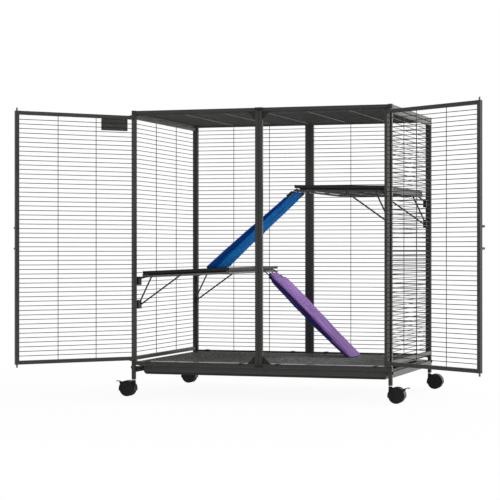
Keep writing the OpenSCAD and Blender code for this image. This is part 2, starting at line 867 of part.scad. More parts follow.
module lower_ramp() {
    at_ramp(-1, lower_hinge_x, lower_ramp_y, lower_hinge_z, lower_slope)
        children();
}

// ---------- doors ----------

// A door in its closed pose with its hinge axis on the origin, +X to its free stile, -Y outwards
module at_door(side) {
    translate([side * pivot_x, pivot_y, 0])
        rotate([0, 0, side > 0 ? right_door_open : -left_door_open])
            mirror([side > 0 ? 1 : 0, 0, 0])
                children();
}

free_x = door_w - tube;
slot_w = 5.6;
shank_d = 5;

module door_frame() {
    rail_from = tube / 2 + seat;
    rail_to = free_x - tube / 2 - seat;
    color("#4b4d4a") {
        translate([0, 0, door_z])
            post(door_h);
        difference() {
            translate([free_x, 0, door_z])
                post(door_h);
            knob_slot(top_knob_z, top_knob_z + bolt_travel);
            knob_slot(bottom_knob_z - bolt_travel, bottom_knob_z);
        }
        for (z = [door_z + tube / 2, door_top - tube / 2])
            rail_x(rail_from, rail_to, 0, z);
        for (z = [door_z, door_top - plug_h]) {
            stile_plug(0, z, pin_d);
            stile_plug(free_x, z, bolt_d);
        }
    }
}

module knob_slot(z0, z1) {
    translate([free_x - slot_w / 2, -tube, z0 - slot_w / 2])
        cube([slot_w, tube - tube / 4, z1 - z0 + slot_w]);
}

// Guide bush in a stile's end
module stile_plug(x, z, d) {
    translate([x, 0, z])
        difference() {
            translate([-plug_w / 2, -plug_w / 2, 0])
                cube([plug_w, plug_w, plug_h]);
            translate([0, 0, -1])
                cylinder(d = d + 2 * run, h = plug_h + 2);
        }
}

module door_wires() {
    color("#5a5c59")
        translate([tube / 2, 0, door_z + tube])
            grille(free_x - tube, door_h - 2 * tube);
}

module door_plate() {
    t = 1.5;
    color("#26302c")
        translate([plate_x, -wire_d / 2 - seat - t, door_top - tube - seat - plate_h])
            cube([plate_w, t, plate_h]);
}

// Slide bolt: rod in the free stile from its knob to its tip
module door_bolt(knob_z, tip_z) {
    neck = tube / 2 + 5;
    head = 8;
    past_shank = shank_d / 2 + 1;
    rod_len = abs(tip_z - knob_z) + past_shank;
    rod_low = tip_z > knob_z ? knob_z - past_shank : tip_z;
    color("#b9bbb8")
        union() {
            translate([free_x, 0, rod_low])
                cylinder(d = bolt_d, h = rod_len, $fn = 32);
            translate([free_x, 0, knob_z])
                rotate([90, 0, 0]) {
                    cylinder(d = shank_d, h = neck + 1, $fn = 32);
                    translate([0, 0, neck])
                        cylinder(d = knob_d, h = head, $fn = 32);
                }
        }
}

// ---------- casters ----------

// Place a caster on the leg at (sx, sy); its wheels trail outwards
module at_caster(sx, sy) {
    translate([sx * leg_x, sy * leg_y, 0])
        mirror([sx < 0 ? 1 : 0, 0, 0])
            children();
}

module caster_stems() {
    color("#b4b6b4")
        for (sx = [-1, 1], sy = [-1, 1])
            translate([sx * leg_x, sy * leg_y, 0]) {
                translate([0, 0, neck_z + seat])
                    cylinder(r = 5.6, h = collar_h - 2 * seat);
                translate([0, 0, wheel_r + 6])
                    cylinder(d = stem_d, h = leg_z + stem_in_leg - wheel_r - 6);
            }
}

lever_pin_d = 3;
lever_boss_r = 3.4;
lever_w = 12;
lever_arm = hood_r + 0.5 + lever_boss_r;
lever_up = 38;               // direction of the lever's pin from the wheel's middle
lever_x = trail + lever_arm * cos(lever_up);
lever_z = wheel_r + lever_arm * sin(lever_up);
hub_wall = 2.5;              // wall over the axle's end in the wheel

module caster_housing(braked) {
    color("#191919") {
        difference() {
            union() {
                translate([trail, 0, wheel_r])
                    rotate([90, 0, 0])
                        linear_extrude(height = caster_w, center = true)
                            intersection() {
                                circle(r = hood_r, $fn = 96);
                                translate([-hood_r, hood_z - wheel_r])
                                    square([2 * hood_r, 2 * hood_r]);
                            }
                translate([0, 0, wheel_r + 8])
                    cylinder(r = neck_r, h = neck_z - wheel_r - 8);
                if (braked)
                    for (y = [-1, 1])
                        translate([trail, y * (lever_w / 2 + 1.7), wheel_r])
                            rotate([90, 0, 0])
                                linear_extrude(height = 3, center = true)
                                    lever_ear();
            }
            for (side = [-1, 1])
                translate([trail, side * (core_w / 2 + caster_w / 2), wheel_r])
                    rotate([90, 0, 0])
                        cylinder(r = hood_r - 1.5, h = caster_w, center = true, $fn = 96);
            translate([0, 0, wheel_r + 5])
                cylinder(d = stem_d + 2 * run, h = neck_z);
            translate([trail, 0, wheel_r])
                rotate([90, 0, 0])
                    cylinder(d = axle_d + 2 * run, h = 2 * caster_w, center = true);
        }
        if (braked)
            translate([lever_x, 0, lever_z])
                rotate([90, 0, 0])
                    cylinder(d = lever_pin_d, h = lever_w + 5, center = true);
    }
}

// Ear that carries the brake lever's pin, in the plane of the wheel
module lever_ear() {
    rotate(lever_up) {
        translate([0, -lever_boss_r])
            square([lever_arm, 2 * lever_boss_r]);
        translate([lever_arm, 0])
            circle(r = lever_boss_r);
    }
}

module caster_wheels() {
    w = (caster_w - core_w) / 2 - 0.5;
    r = wheel_r;
    bore_r = axle_d / 2 + run;
    face = w - 0.8;
    section = [
        [bore_r, 0], [r - 1.2, 0], [r, 1.2], [r, w - 1.4], [r - 1.4, w], [r - 4, w],
        [r - 4.8, face], [0, face], [0, w - hub_wall], [bore_r, w - hub_wall]
    ];
    color("#202020")
        for (side = [0, 1])
            translate([trail, 0, wheel_r])
                mirror([0, side, 0])
                    translate([0, core_w / 2 + 0.3, 0])
                        rotate([-90, 0, 0])
                            rotate_extrude($fn = 96)
                                polygon(section);
}

module caster_axle() {
    color("#a9aba9")
        translate([trail, 0, wheel_r])
            rotate([90, 0, 0])
                cylinder(d = axle_d, h = caster_w - 1 - 2 * hub_wall, center = true);
}

// Brake lever: a boss on the housing's pin with a thin curved blade
module brake_lever() {
    blade_t = 2.2;
    bend_r = 28;
    blade_up = 30;
    sweep_deg = lever_len / bend_r * 180 / PI;
    color("#191919")
        translate([lever_x, 0, lever_z])
            rotate([90, 0, 0])
                linear_extrude(height = lever_w, center = true)
                    difference() {
                        union() {
                            circle(r = lever_boss_r - 0.2);
                            rotate(blade_up)
                                translate([0, lever_boss_r - 0.2 - bend_r])
                                    blade_arc(bend_r, blade_t, sweep_deg);
                        }
                        circle(d = lever_pin_d + 2 * run);
                    }
}

// Arc band of outer radius r and thickness t, from straight up through sweep_deg clockwise
module blade_arc(r, t, sweep_deg) {
    difference() {
        intersection() {
            circle(r = r, $fn = 128);
            polygon([[0, 0], [0, 2 * r], [2 * r * sin(sweep_deg), 2 * r * cos(sweep_deg)]]);
        }
        circle(r = r - t, $fn = 128);
    }
}

// ---------- nodes ----------

side_frame(-1);  // left_side_frame
side_wires(-1);  // left_side_wires
side_frame(1);  // right_side_frame
side_wires(1);  // right_side_wires
back_frame(-1);  // back_left_frame
back_wires(-1);  // back_left_wires
back_frame(1);  // back_right_frame
back_wires(1);  // back_right_wires
front_frame(-1);  // front_left_frame
front_frame(1);  // front_right_frame
front_gussets();
top_wires();
floor_grille(-1);  // floor_left_grille
floor_grille(1);  // floor_right_grille
top_frame();
grille_clips();
pan_runners();
post_caps();
panel_bolts();
hinge_brackets();
bolt_keepers();
caster_stems();
pan();
at_shelf(-1, lower_shelf_z, lower_shelf_rise) shelf_frame();  // lower_shelf_frame
at_shelf(-1, lower_shelf_z, lower_shelf_rise) shelf_tray();  // lower_shelf_tray
shelf_hangers(-1, lower_shelf_z, lower_shelf_rise, lower_hook_z, lower_foot_z);  // lower_shelf_hangers
shelf_clips(-1, lower_shelf_z, lower_shelf_rise, lower_hook_z, lower_foot_z);  // lower_shelf_clips
at_shelf(1, upper_shelf_z, upper_shelf_rise) shelf_frame();  // upper_shelf_frame
at_shelf(1, upper_shelf_z, upper_shelf_rise) shelf_tray();  // upper_shelf_tray
shelf_hangers(1, upper_shelf_z, upper_shelf_rise, upper_hook_z, upper_foot_z);  // upper_shelf_hangers
shelf_clips(1, upper_shelf_z, upper_shelf_rise, upper_hook_z, upper_foot_z);  // upper_shelf_clips
lower_ramp() ramp_frame(lower_ramp_reach, lower_ramp_len);  // lower_ramp_frame
lower_ramp()  // lower_ramp_cover
        ramp_cover(lower_ramp_reach, lower_ramp_len, lower_pad_t, lower_pad_low,
                   lower_pad_belly, lower_pad_crown, "#8a66a6");
lower_ramp() ramp_clips(lower_ramp_reach, 12);  // lower_ramp_clips
upper_ramp() ramp_frame(upper_ramp_reach, upper_ramp_len);  // upper_ramp_frame
upper_ramp()  // upper_ramp_cover
        ramp_cover(upper_ramp_reach, upper_ramp_len, upper_pad_t, upper_pad_low,
                   upper_pad_belly, upper_pad_crown, "#2f6fd0");
upper_ramp() ramp_clips(upper_ramp_reach, 24);  // upper_ramp_clips
at_door(-1) door_frame();  // left_door_frame
at_door(-1) door_wires();  // left_door_wires
at_door(-1) door_plate();  // left_door_plate
at_door(-1) door_bolt(top_knob_z, door_top + bolt_out);  // left_top_bolt
at_door(-1) door_bolt(bottom_knob_z, door_z - bolt_out);  // left_bottom_bolt
at_door(1) door_frame();  // right_door_frame
at_door(1) door_wires();  // right_door_wires
at_door(1) door_bolt(top_knob_z, door_top + bolt_out);  // right_top_bolt
at_door(1) door_bolt(bottom_knob_z, door_z - bolt_out);  // right_bottom_bolt
at_caster(-1, -1) caster_housing(true);  // front_left_caster_housing
at_caster(-1, -1) caster_wheels();  // front_left_caster_wheels
at_caster(-1, -1) caster_axle();  // front_left_caster_axle
at_caster(1, -1) caster_housing(true);  // front_right_caster_housing
at_caster(1, -1) caster_wheels();  // front_right_caster_wheels
at_caster(1, -1) caster_axle();  // front_right_caster_axle
at_caster(-1, 1) caster_housing(false);  // rear_left_caster_housing
at_caster(-1, 1) caster_wheels();  // rear_left_caster_wheels
at_caster(-1, 1) caster_axle();  // rear_left_caster_axle
at_caster(1, 1) caster_housing(false);  // rear_right_caster_housing
at_caster(1, 1) caster_wheels();  // rear_right_caster_wheels
at_caster(1, 1) caster_axle();  // rear_right_caster_axle
at_caster(-1, -1) brake_lever();  // front_left_brake_lever
at_caster(1, -1) brake_lever();  // front_right_brake_lever
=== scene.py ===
"""Looks of a two-level ferret cage on casters.

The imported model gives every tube, wire, shelf, door and caster at its real size. This script
dresses those parts in their finishes, replaces the padded ramp covers, the caster wheels and the
name plate with fuller surfaces, adds weld beads, and sets up the studio.
All lengths are metres in the model's own frame: +X right, +Y back, +Z up.
"""

import json
import logging
import math
from dataclasses import dataclass, field
from enum import Enum
from functools import reduce
from typing import Any, Iterable, Sequence

import bpy
import numpy as np
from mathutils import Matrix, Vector

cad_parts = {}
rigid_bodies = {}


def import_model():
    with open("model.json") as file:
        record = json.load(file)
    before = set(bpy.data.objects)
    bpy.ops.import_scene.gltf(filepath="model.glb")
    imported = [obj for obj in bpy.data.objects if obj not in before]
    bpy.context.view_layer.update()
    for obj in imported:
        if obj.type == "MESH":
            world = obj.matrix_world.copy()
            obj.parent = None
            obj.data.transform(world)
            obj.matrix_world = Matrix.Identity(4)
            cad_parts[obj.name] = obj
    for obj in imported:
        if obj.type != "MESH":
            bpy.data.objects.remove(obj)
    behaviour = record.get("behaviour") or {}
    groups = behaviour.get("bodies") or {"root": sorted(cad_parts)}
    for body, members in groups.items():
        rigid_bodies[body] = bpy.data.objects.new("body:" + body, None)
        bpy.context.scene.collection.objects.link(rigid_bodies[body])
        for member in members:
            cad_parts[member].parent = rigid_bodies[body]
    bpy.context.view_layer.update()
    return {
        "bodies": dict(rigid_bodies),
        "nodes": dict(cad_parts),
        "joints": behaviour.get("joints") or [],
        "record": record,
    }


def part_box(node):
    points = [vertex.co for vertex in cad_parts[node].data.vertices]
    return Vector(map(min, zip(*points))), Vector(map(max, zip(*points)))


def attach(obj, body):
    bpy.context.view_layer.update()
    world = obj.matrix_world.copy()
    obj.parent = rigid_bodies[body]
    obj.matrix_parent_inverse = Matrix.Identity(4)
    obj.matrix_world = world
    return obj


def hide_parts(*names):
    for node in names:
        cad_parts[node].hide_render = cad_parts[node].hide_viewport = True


log = logging.getLogger("ferret_cage")
MM = 0.001
WHITE = (1.0, 1.0, 1.0, 1.0)
SEEN_RAYS = ("Is Camera Ray", "Is Glossy Ray", "Is Transmission Ray")


# ---- shader maths


class Wave(Enum):
    """Kinds of texture that a pattern can start from."""

    NOISE = "ShaderNodeTexNoise"
    CELLS = "ShaderNodeTexVoronoi"


class Signal:
    """A number socket of a material that takes part in Python expressions."""

    def __init__(self, shader: "Shader", socket: bpy.types.NodeSocket) -> None:
        """Wrap an output socket of a material that carries a number."""
        self.shader = shader
        self.socket = socket

    def _math(self, operation: str, *others: Any) -> "Signal":
        """Add a Math node on the operands, signals or numbers, and return its result."""
        new = self.shader.node("ShaderNodeMath", {"operation": operation}, dict(enumerate(others)))
        return Signal(self.shader, new.outputs[0])

    def __add__(self, other: Any) -> "Signal":
        """Return self + other."""
        return self._math("ADD", self, other)

    __radd__ = __add__

    def __mul__(self, other: Any) -> "Signal":
        """Return self * other."""
        return self._math("MULTIPLY", self, other)

    __rmul__ = __mul__

    def __sub__(self, other: Any) -> "Signal":
        """Return self - other."""
        return self._math("SUBTRACT", self, other)

    def __rsub__(self, other: Any) -> "Signal":
        """Return other - self."""
        return self._math("SUBTRACT", other, self)

    def most(self, other: Any) -> "Signal":
        """Return the larger of self and other."""
        return self._math("MAXIMUM", self, other)

    def span(self, low: float, high: float) -> "Signal":
        """Map low..high smoothly onto 0..1.

        Args:
            low: The value that becomes 0.
            high: The value that becomes 1.

        Returns:
            The mapped signal, held between 0 and 1.
        """
        settings = {"interpolation_type": "SMOOTHSTEP"}
        node = self.shader.node("ShaderNodeMapRange", settings, {0: self, 1: low, 2: high})
        return Signal(self.shader, node.outputs[0])


class Shader:
    """The node tree of a material or a world, with one method for every node."""

    def __init__(self, name: str, blocks: Any = None) -> None:
        """Start a tree.

        Args:
            name: Name of the material or world.
            blocks: Blender's collection that makes it, or None for the materials.
        """
        blocks = bpy.data.materials if blocks is None else blocks
        self.block = blocks.new(name)
        self.block.use_nodes = True
        self.tree = self.block.node_tree
        self.tree.nodes.clear()

    def node(self, kind: str, settings: dict[str, Any], values: dict[Any, Any]) -> bpy.types.Node:
        """Add a node, set it up and feed its inputs.

        Args:
            kind: Blender's type of the node.
            settings: Properties of the node, set first.
            values: Numbers, colours, sockets or signals by input name or index.

        Returns:
            The new node.
        """
        new = self.tree.nodes.new(kind)
        for key, value in settings.items():
            setattr(new, key, value)
        for key, value in values.items():
            if isinstance(value, Signal):
                value = value.socket
            if isinstance(value, bpy.types.NodeSocket):
                self.tree.links.new(value, new.inputs[key])
            else:
                new.inputs[key].default_value = value
        return new

    def place(self, scale: Sequence[float] = (1.0, 1.0, 1.0),
              turn: float = 0.0) -> bpy.types.NodeSocket:
        """Return object coordinates, turned about Y and then scaled.

        Args:
            scale: Factor along each axis after the turn.
            turn: Rotation about Y in radians.

        Returns:
            The vector output.
        """
        coords = self.node("ShaderNodeTexCoord", {}, {}).outputs["Object"]
        if turn:
            values = {"Vector": coords, "Rotation": (0.0, turn, 0.0)}
            coords = self.node("ShaderNodeMapping", {}, values).outputs[0]
        return self.node("ShaderNodeMapping", {}, {"Vector": coords, "Scale": scale}).outputs[0]

    def height(self) -> Signal:
        """Return the height above the floor in metres."""
        return Signal(self, self.node("ShaderNodeSeparateXYZ", {}, {0: self.place()}).outputs[2])

    def pattern(self, wave: Wave, scale: float, detail: float = 2.0,
                vector: bpy.types.NodeSocket | None = None) -> Signal:
        """Add a noise or cell pattern on object coordinates.

        Args:
            wave: Which texture to use.
            scale: Repeats per metre.
            detail: Finer octaves of a noise.
            vector: Coordinates to read, or None for plain object coordinates.

        Returns:
            The pattern's strength, 0 to 1 for noise, a distance for cells.
        """
        values: dict[Any, Any] = {"Vector": vector or self.place(), "Scale": scale}
        if wave is Wave.NOISE:
            values["Detail"] = detail
        return Signal(self, self.node(wave.value, {}, values).outputs[0])

    def attribute(self, name: str) -> Signal:
        """Return a number that each vertex of the piece carries under this name."""
        made = self.node("ShaderNodeAttribute", {"attribute_name": name}, {})
        return Signal(self, made.outputs["Fac"])

    def seen(self) -> Signal:
        """Return 1 for the rays through which the eye sees, and 0 for those that only light."""
        path = self.node("ShaderNodeLightPath", {}, {})
        return reduce(Signal.most, [Signal(self, path.outputs[ray]) for ray in SEEN_RAYS])

    def blend(self, factor: Any, first: Any, second: Any) -> bpy.types.NodeSocket:
        """Return a mix of two colours or sockets: factor 0 gives the first, 1 the second."""
        made = self.node("ShaderNodeMix", {"data_type": "RGBA"}, {0: factor, 6: first, 7: second})
        return made.outputs[2]

    def bump(self, height: Signal, depth: float, strength: float = 1.0) -> bpy.types.NodeSocket:
        """Return the normal of a relief whose height of 1 is depth metres deep."""
        values = {"Height": height, "Distance": depth, "Strength": strength}
        return self.node("ShaderNodeBump", {}, values).outputs[0]

    def finish(self, **sockets: Any) -> bpy.types.Material:
        """End the tree with a Principled shader.

        Args:
            sockets: Its inputs, with underscores for spaces.

        Returns:
            The finished material.
        """
        values = {key.replace("_", " "): value for key, value in sockets.items()}
        body = self.node("ShaderNodeBsdfPrincipled", {}, values)
        self.node("ShaderNodeOutputMaterial", {}, {"Surface": body.outputs[0]})
        return self.block


def rgb(red: int, green: int, blue: int) -> tuple[float, float, float, float]:
    """Turn a screen colour of 0 to 255 into Blender's linear colour.

    Args:
        red: Red part.
        green: Green part.
        blue: Blue part.

    Returns:
        Linear red, green, blue and 1.
    """
    parts = np.array([red, green, blue]) / 255.0
    linear = np.where(parts <= 0.04045, parts / 12.92, ((parts + 0.055) / 1.055) ** 2.4)
    return (float(linear[0]), float(linear[1]), float(linear[2]), 1.0)


def shade(colour: tuple[int, int, int], factor: float,
          lift: int = 0) -> tuple[float, float, float, float]:
    """Return a screen colour times a factor plus a lift as Blender's linear colour."""
    return rgb(*(min(255, int(part * factor) + lift) for part in colour))


# ---- finishes


@dataclass(frozen=True)
class HammerPaint:
    """Dark grey powder coat with the beaten, speckled look of hammer finish."""

    name: str
    light: tuple[int, int, int] = (62, 63, 60)
    dark: tuple[int, int, int] = (38, 39, 37)
    cells_per_metre: float = 420.0
    cloud_per_metre: float = 60.0
    fine_per_metre: float = 900.0
    relief: float = 0.09 * MM
    roughness: float = 0.36
    gloss: float = 0.25
    # Black below a given height, blurred over a short edge: painted shade on faces that look down
    black: tuple[int, int, int] = (18, 18, 17)
    painted_shade_below: float | None = None
    painted_shade_edge: float = 0.5 * MM

    def build(self) -> bpy.types.Material:
        """Build the coat: a cell pattern for the dimples, slow noise for the tone, and black below
        a given height as painted shade.

        Returns:
            The material.
        """
        s = Shader(self.name)
        dimples = s.pattern(Wave.CELLS, self.cells_per_metre)
        cloud = s.pattern(Wave.NOISE, self.cloud_per_metre, 4.0)
        fine = s.pattern(Wave.NOISE, self.fine_per_metre, 2.0)
        tone = (dimples * 1.1 + cloud * 0.5 - 0.25).span(0.05, 0.85)
        colour = s.blend(tone, rgb(*self.dark), rgb(*self.light))
        # Painted shade: below the given height the coat turns black
        if self.painted_shade_below is not None:
            level = s.height().span(self.painted_shade_below - self.painted_shade_edge,
                                    self.painted_shade_below + self.painted_shade_edge)
            colour = s.blend(level, rgb(*self.black), colour)
        height = dimples * 0.8 + fine * 0.2
        return s.finish(Base_Color=colour, Roughness=self.roughness + fine * 0.16,
                        Specular_IOR_Level=self.gloss,
                        Normal=s.bump(height, self.relief, 0.8))


@dataclass(frozen=True)
class WirePaint:
    """The same grey coat on thin wire, where it lies smoother."""

    name: str
    colour: tuple[int, int, int] = (42, 43, 41)
    gloss: float = 0.2
    roughness: float = 0.34
    cloud_per_metre: float = 140.0
    relief: float = 0.1 * MM

    def build(self) -> bpy.types.Material:
        """Build the coat: slow noise for its thick and thin spots.

        Returns:
            The material.
        """
        s = Shader(self.name)
        cloud = s.pattern(Wave.NOISE, self.cloud_per_metre, 3.0)
        colour = s.blend(cloud.span(0.3, 0.7), shade(self.colour, 0.8), rgb(*self.colour))
        return s.finish(Base_Color=colour, Roughness=self.roughness + cloud * 0.15,
                        Specular_IOR_Level=self.gloss, Normal=s.bump(cloud, self.relief, 0.5))


@dataclass(frozen=True)
class MouldedPlastic:
    """Black injection-moulded plastic with a fine spark-eroded grain."""

    name: str
    colour: tuple[int, int, int] = (18, 18, 18)
    grain_per_metre: float = 1500.0
    roughness: float = 0.42
    gloss: float = 0.2
    scuffs_per_metre: float = 35.0
    relief: float = 0.06 * MM

    def build(self) -> bpy.types.Material:
        """Build the plastic: fine grain in the relief, soft scuffs in the gloss.

        Returns:
            The material.
        """
        s = Shader(self.name)
        grain = s.pattern(Wave.NOISE, self.grain_per_metre, 2.0)
        scuff = s.pattern(Wave.NOISE, self.scuffs_per_metre, 5.0).span(0.42, 0.75)
        colour = s.blend(scuff * 0.5, rgb(*self.colour), shade(self.colour, 1.4, 3))
        return s.finish(Base_Color=colour, Roughness=self.roughness + scuff * 0.15 + grain * 0.08,
                        Specular_IOR_Level=self.gloss, Normal=s.bump(grain, self.relief, 0.7))


@dataclass(frozen=True)
class ZincSteel:
    """Zinc-plated steel: satin, with faint turning marks round the rod."""

    name: str
    colour: tuple[int, int, int] = (176, 178, 178)
    marks_per_metre: float = 300.0
    cloud_per_metre: float = 90.0
    relief: float = 0.03 * MM

    def build(self) -> bpy.types.Material:
        """Build the metal: noise that is pressed flat along Z gives the turning marks.

        Returns:
            The material.
        """
        s = Shader(self.name)
        marks = s.pattern(Wave.NOISE, self.marks_per_metre, 3.0, s.place((0.4, 0.4, 8.0)))
        cloud = s.pattern(Wave.NOISE, self.cloud_per_metre, 3.0)
        colour = s.blend(cloud.span(0.3, 0.8), rgb(*self.colour), shade(self.colour, 0.78))
        return s.finish(Base_Color=colour, Metallic=0.9, Roughness=0.3 + marks * 0.18,
                        Normal=s.bump(marks, self.relief, 0.6))


@dataclass(frozen=True)
class PileCloth:
    """Short-pile fleece of a ramp's sleeve: one colour on top, one at the sides, one below; the
    side colour is the blue of the underside darkened as painted shade.
    """

    name: str
    top: tuple[int, int, int]
    # Colour of the side walls: the blue of the underside in painted shade
    side: tuple[int, int, int]
    under: tuple[int, int, int]
    turn: float
    streaks_per_metre: float = 95.0
    pile_per_metre: float = 1100.0
    tufts_per_metre: float = 520.0
    relief: float = 1.1 * MM

    def pile_sheen_and_shade(self, s: Shader, colour: tuple[int, int, int], streaks: Signal,
                tufts: Signal) -> bpy.types.NodeSocket:
        """Return one colour of the sleeve: lighter and darker lengthwise streaks as painted sheen
        on the pile, darker between tufts as painted shade.
        """
        # Painted sheen: the colour runs lighter and darker in lengthwise streaks
        face = s.blend(streaks, shade(colour, 0.8), shade(colour, 1.12, 4))
        # Painted shade: darker between the tufts
        return s.blend((tufts * 1.5).span(0.35, 1.0) * 0.4, face, shade(colour, 0.66))

    def build(self) -> bpy.types.Material:
        """Build the fleece: the band picks the colour, stretched noise lays the pile.

        Returns:
            The material.
        """
        s = Shader(self.name)
        lengthwise = s.place((0.1, 1.0, 1.0), self.turn)
        streaks = s.pattern(Wave.NOISE, self.streaks_per_metre, 4.0, lengthwise).span(0.3, 0.7)
        pile = s.pattern(Wave.NOISE, self.pile_per_metre, 3.0)
        tufts = s.pattern(Wave.CELLS, self.tufts_per_metre)
        band = s.attribute("band")
        # Band 1, the side walls, takes the side colour, which is painted shade of the blue
        ends = s.blend(band.span(0.4, 0.6), self.pile_sheen_and_shade(s, self.top, streaks, tufts),
                       self.pile_sheen_and_shade(s, self.side, streaks, tufts))
        colour = s.blend(band.span(1.3, 1.7), ends, self.pile_sheen_and_shade(s, self.under, streaks, tufts))
        height = pile * 0.6 + tufts * 0.4 + streaks * 0.4
        return s.finish(Base_Color=colour, Roughness=0.9, Specular_IOR_Level=0.04,
                        Sheen_Weight=0.01, Sheen_Roughness=0.5,
                        Normal=s.bump(height, self.relief, 0.5))


@dataclass(frozen=True)
class StudioWhite:
    """White floor that shows as white to camera and gloss rays and keeps a soft shadow.

    Near the object a share of the floor's own shading shows, which fades to none further out.
    """

    name: str
    share: float = 0.06
    near: float = 0.6
    far: float = 2.4
    paint: tuple[float, float, float, float] = (0.93, 0.93, 0.93, 1.0)

    def build(self) -> bpy.types.Material:
        """Build the floor: white paint mixed with a white glow that only the eye sees.

        Returns:
            The material.
        """
        s = Shader(self.name)
        reach = s.node("ShaderNodeVectorMath", {"operation": "LENGTH"}, {0: s.place()})
        fade = Signal(s, reach.outputs["Value"]).span(self.near, self.far)
        white = s.node("ShaderNodeBsdfDiffuse", {}, {"Color": self.paint})
        glow = s.node("ShaderNodeEmission", {}, {"Color": WHITE, "Strength": 1.0})
        factor = s.seen() * (1 - (1 - fade) * self.share)
        values = {0: factor, 1: white.outputs[0], 2: glow.outputs[0]}
        total = s.node("ShaderNodeMixShader", {}, values)
        s.node("ShaderNodeOutputMaterial", {}, {"Surface": total.outputs[0]})
        return s.block


# ---- surfaces


def grid_faces(rows: int, columns: int, wrap_rows: bool, wrap_columns: bool) -> np.ndarray:
    """List the quads of a grid of points.

    Args:
        rows: Points in the first direction.
        columns: Points in the second direction.
        wrap_rows: Whether the last row joins the first.
        wrap_columns: Whether the last column joins the first.

    Returns:
        Vertex numbers, four a face.
    """
    i = np.arange(rows if wrap_rows else rows - 1)
    j = np.arange(columns if wrap_columns else columns - 1)
    a, b = np.meshgrid(i, j, indexing="ij")
    c, d = (a + 1) % rows, (b + 1) % columns
    quads = np.stack([a * columns + b, c * columns + b, c * columns + d, a * columns + d], -1)
    return quads.reshape(-1, 4)


@dataclass
class Surface:
    """Points and faces of one piece, gathered before they become a Blender mesh."""

    points: list[np.ndarray] = field(default_factory=list)
    faces: list[np.ndarray] = field(default_factory=list)
    bands: list[np.ndarray] = field(default_factory=list)
    count: int = 0

    def add_grid(self, grid: np.ndarray, wrap_rows: bool = False, wrap_columns: bool = False,
                 caps: bool = False, band: np.ndarray | None = None) -> "Surface":
        """Add a grid of points.

        Args:
            grid: Array of rows x columns x 3.
            wrap_rows: Whether the last row joins the first.
            wrap_columns: Whether the last column joins the first.
            caps: Whether the first and last rows are closed, each with a fan to its middle.
            band: A number for each point, kept as the attribute band.

        Returns:
            This surface, so that calls chain.
        """
        rows, columns = grid.shape[:2]
        flat = grid.reshape(-1, 3)
        level = np.zeros(len(flat)) if band is None else band.reshape(-1)
        faces = grid_faces(rows, columns, wrap_rows, wrap_columns)
        if caps:
            middles = np.stack([grid[0].mean(0), grid[-1].mean(0)])
            level = np.concatenate([level, [level[0], level[-1]]])
            ring = np.arange(columns)
            after = (ring + 1) % columns
            first = np.full(columns, rows * columns)
            last = first + 1
            base = (rows - 1) * columns
            low = np.stack([first, ring, after, after], -1)
            high = np.stack([last, base + after, base + ring, base + ring], -1)
            flat = np.concatenate([flat, middles])
            faces = np.concatenate([faces, low, high])
        self.points.append(flat)
        self.faces.append(faces + self.count)
        self.bands.append(level)
        self.count += len(flat)
        return self

    def make(self, name: str, material: bpy.types.Material,
             smooth: float = 40.0) -> bpy.types.Object:
        """Turn the gathered grids into an object.

        Args:
            name: Name of the object.
            material: Its finish.
            smooth: Angle in degrees above which an edge stays sharp.

        Returns:
            The object, at the origin, with its place in its mesh.
        """
        points = np.concatenate(self.points)
        quads = np.concatenate(self.faces)
        triangle = quads[:, 2] == quads[:, 3]
        polygons = quads[~triangle].tolist() + quads[triangle][:, :3].tolist()
        mesh = bpy.data.meshes.new(name)
        mesh.from_pydata(points.tolist(), [], polygons)
        mesh.attributes.new("band", "FLOAT", "POINT")
        mesh.attributes["band"].data.foreach_set("value", np.concatenate(self.bands))
        mesh.materials.append(material)
        piece = link_object(name, mesh)
        tidy_mesh(piece, smooth)
        return piece


def link_object(name: str, data: bpy.types.ID) -> bpy.types.Object:
    """Make an object and link it to the scene.

    Args:
        name: Name of the object.
        data: Its mesh, camera or light.

    Returns:
        The object.
    """
    made = bpy.data.objects.new(name, data)
    bpy.context.scene.collection.objects.link(made)
    return made


def tidy_mesh(piece: bpy.types.Object, smooth: float) -> None:
    """Point every face outwards and shade smooth below an angle.

    Args:
        piece: Object whose mesh is finished.
        smooth: Angle in degrees above which an edge stays sharp.
    """
    bpy.context.view_layer.objects.active = piece
    piece.select_set(True)
    bpy.ops.object.mode_set(mode="EDIT")
    bpy.ops.mesh.select_all(action="SELECT")
    bpy.ops.mesh.normals_make_consistent(inside=False)
    bpy.ops.object.mode_set(mode="OBJECT")
    bpy.ops.object.shade_smooth_by_angle(angle=math.radians(smooth))
    piece.select_set(False)


def lathe(profile: Sequence[tuple[float, float]], steps: int) -> np.ndarray:
    """Turn a profile about the Y axis.

    A point (r, h) of the profile becomes (r cos a, h, r sin a) for every angle a.

    Args:
        profile: Radius and height of each point, outline closed by the caller.
        steps: Angles round the axis.

    Returns:
        Grid of steps x points x 3.
    """
    outline = np.array(profile, float)
    angle = np.linspace(0.0, 2 * np.pi, steps, endpoint=False)[:, None]
    radius, height = outline[None, :, 0], outline[None, :, 1]
    return np.stack([radius * np.cos(angle), np.broadcast_to(height, (steps, len(outline))),
                     radius * np.sin(angle)], -1)


def rounded_loop(width: float, height: float, radius: float, corner: int = 5) -> np.ndarray:
    """Return a rectangle with round corners as a closed loop.

    Each corner is a quarter circle about a centre set in by the radius.

    Args:
        width: Size along the first axis.
        height: Size along the second axis.
        radius: Corner radius.
        corner: Points on each corner.

    Returns:
        Array of points x 2, counter-clockwise.
    """
    turn = np.linspace(0.0, np.pi / 2, corner)
    starts = np.arange(4) * np.pi / 2
    angle = (starts[:, None] + turn[None, :]).reshape(-1)
    sign_x = np.repeat([1, -1, -1, 1], corner)
    sign_y = np.repeat([1, 1, -1, -1], corner)
    x = sign_x * (width / 2 - radius) + radius * np.cos(angle)
    y = sign_y * (height / 2 - radius) + radius * np.sin(angle)
    return np.stack([x, y], -1)


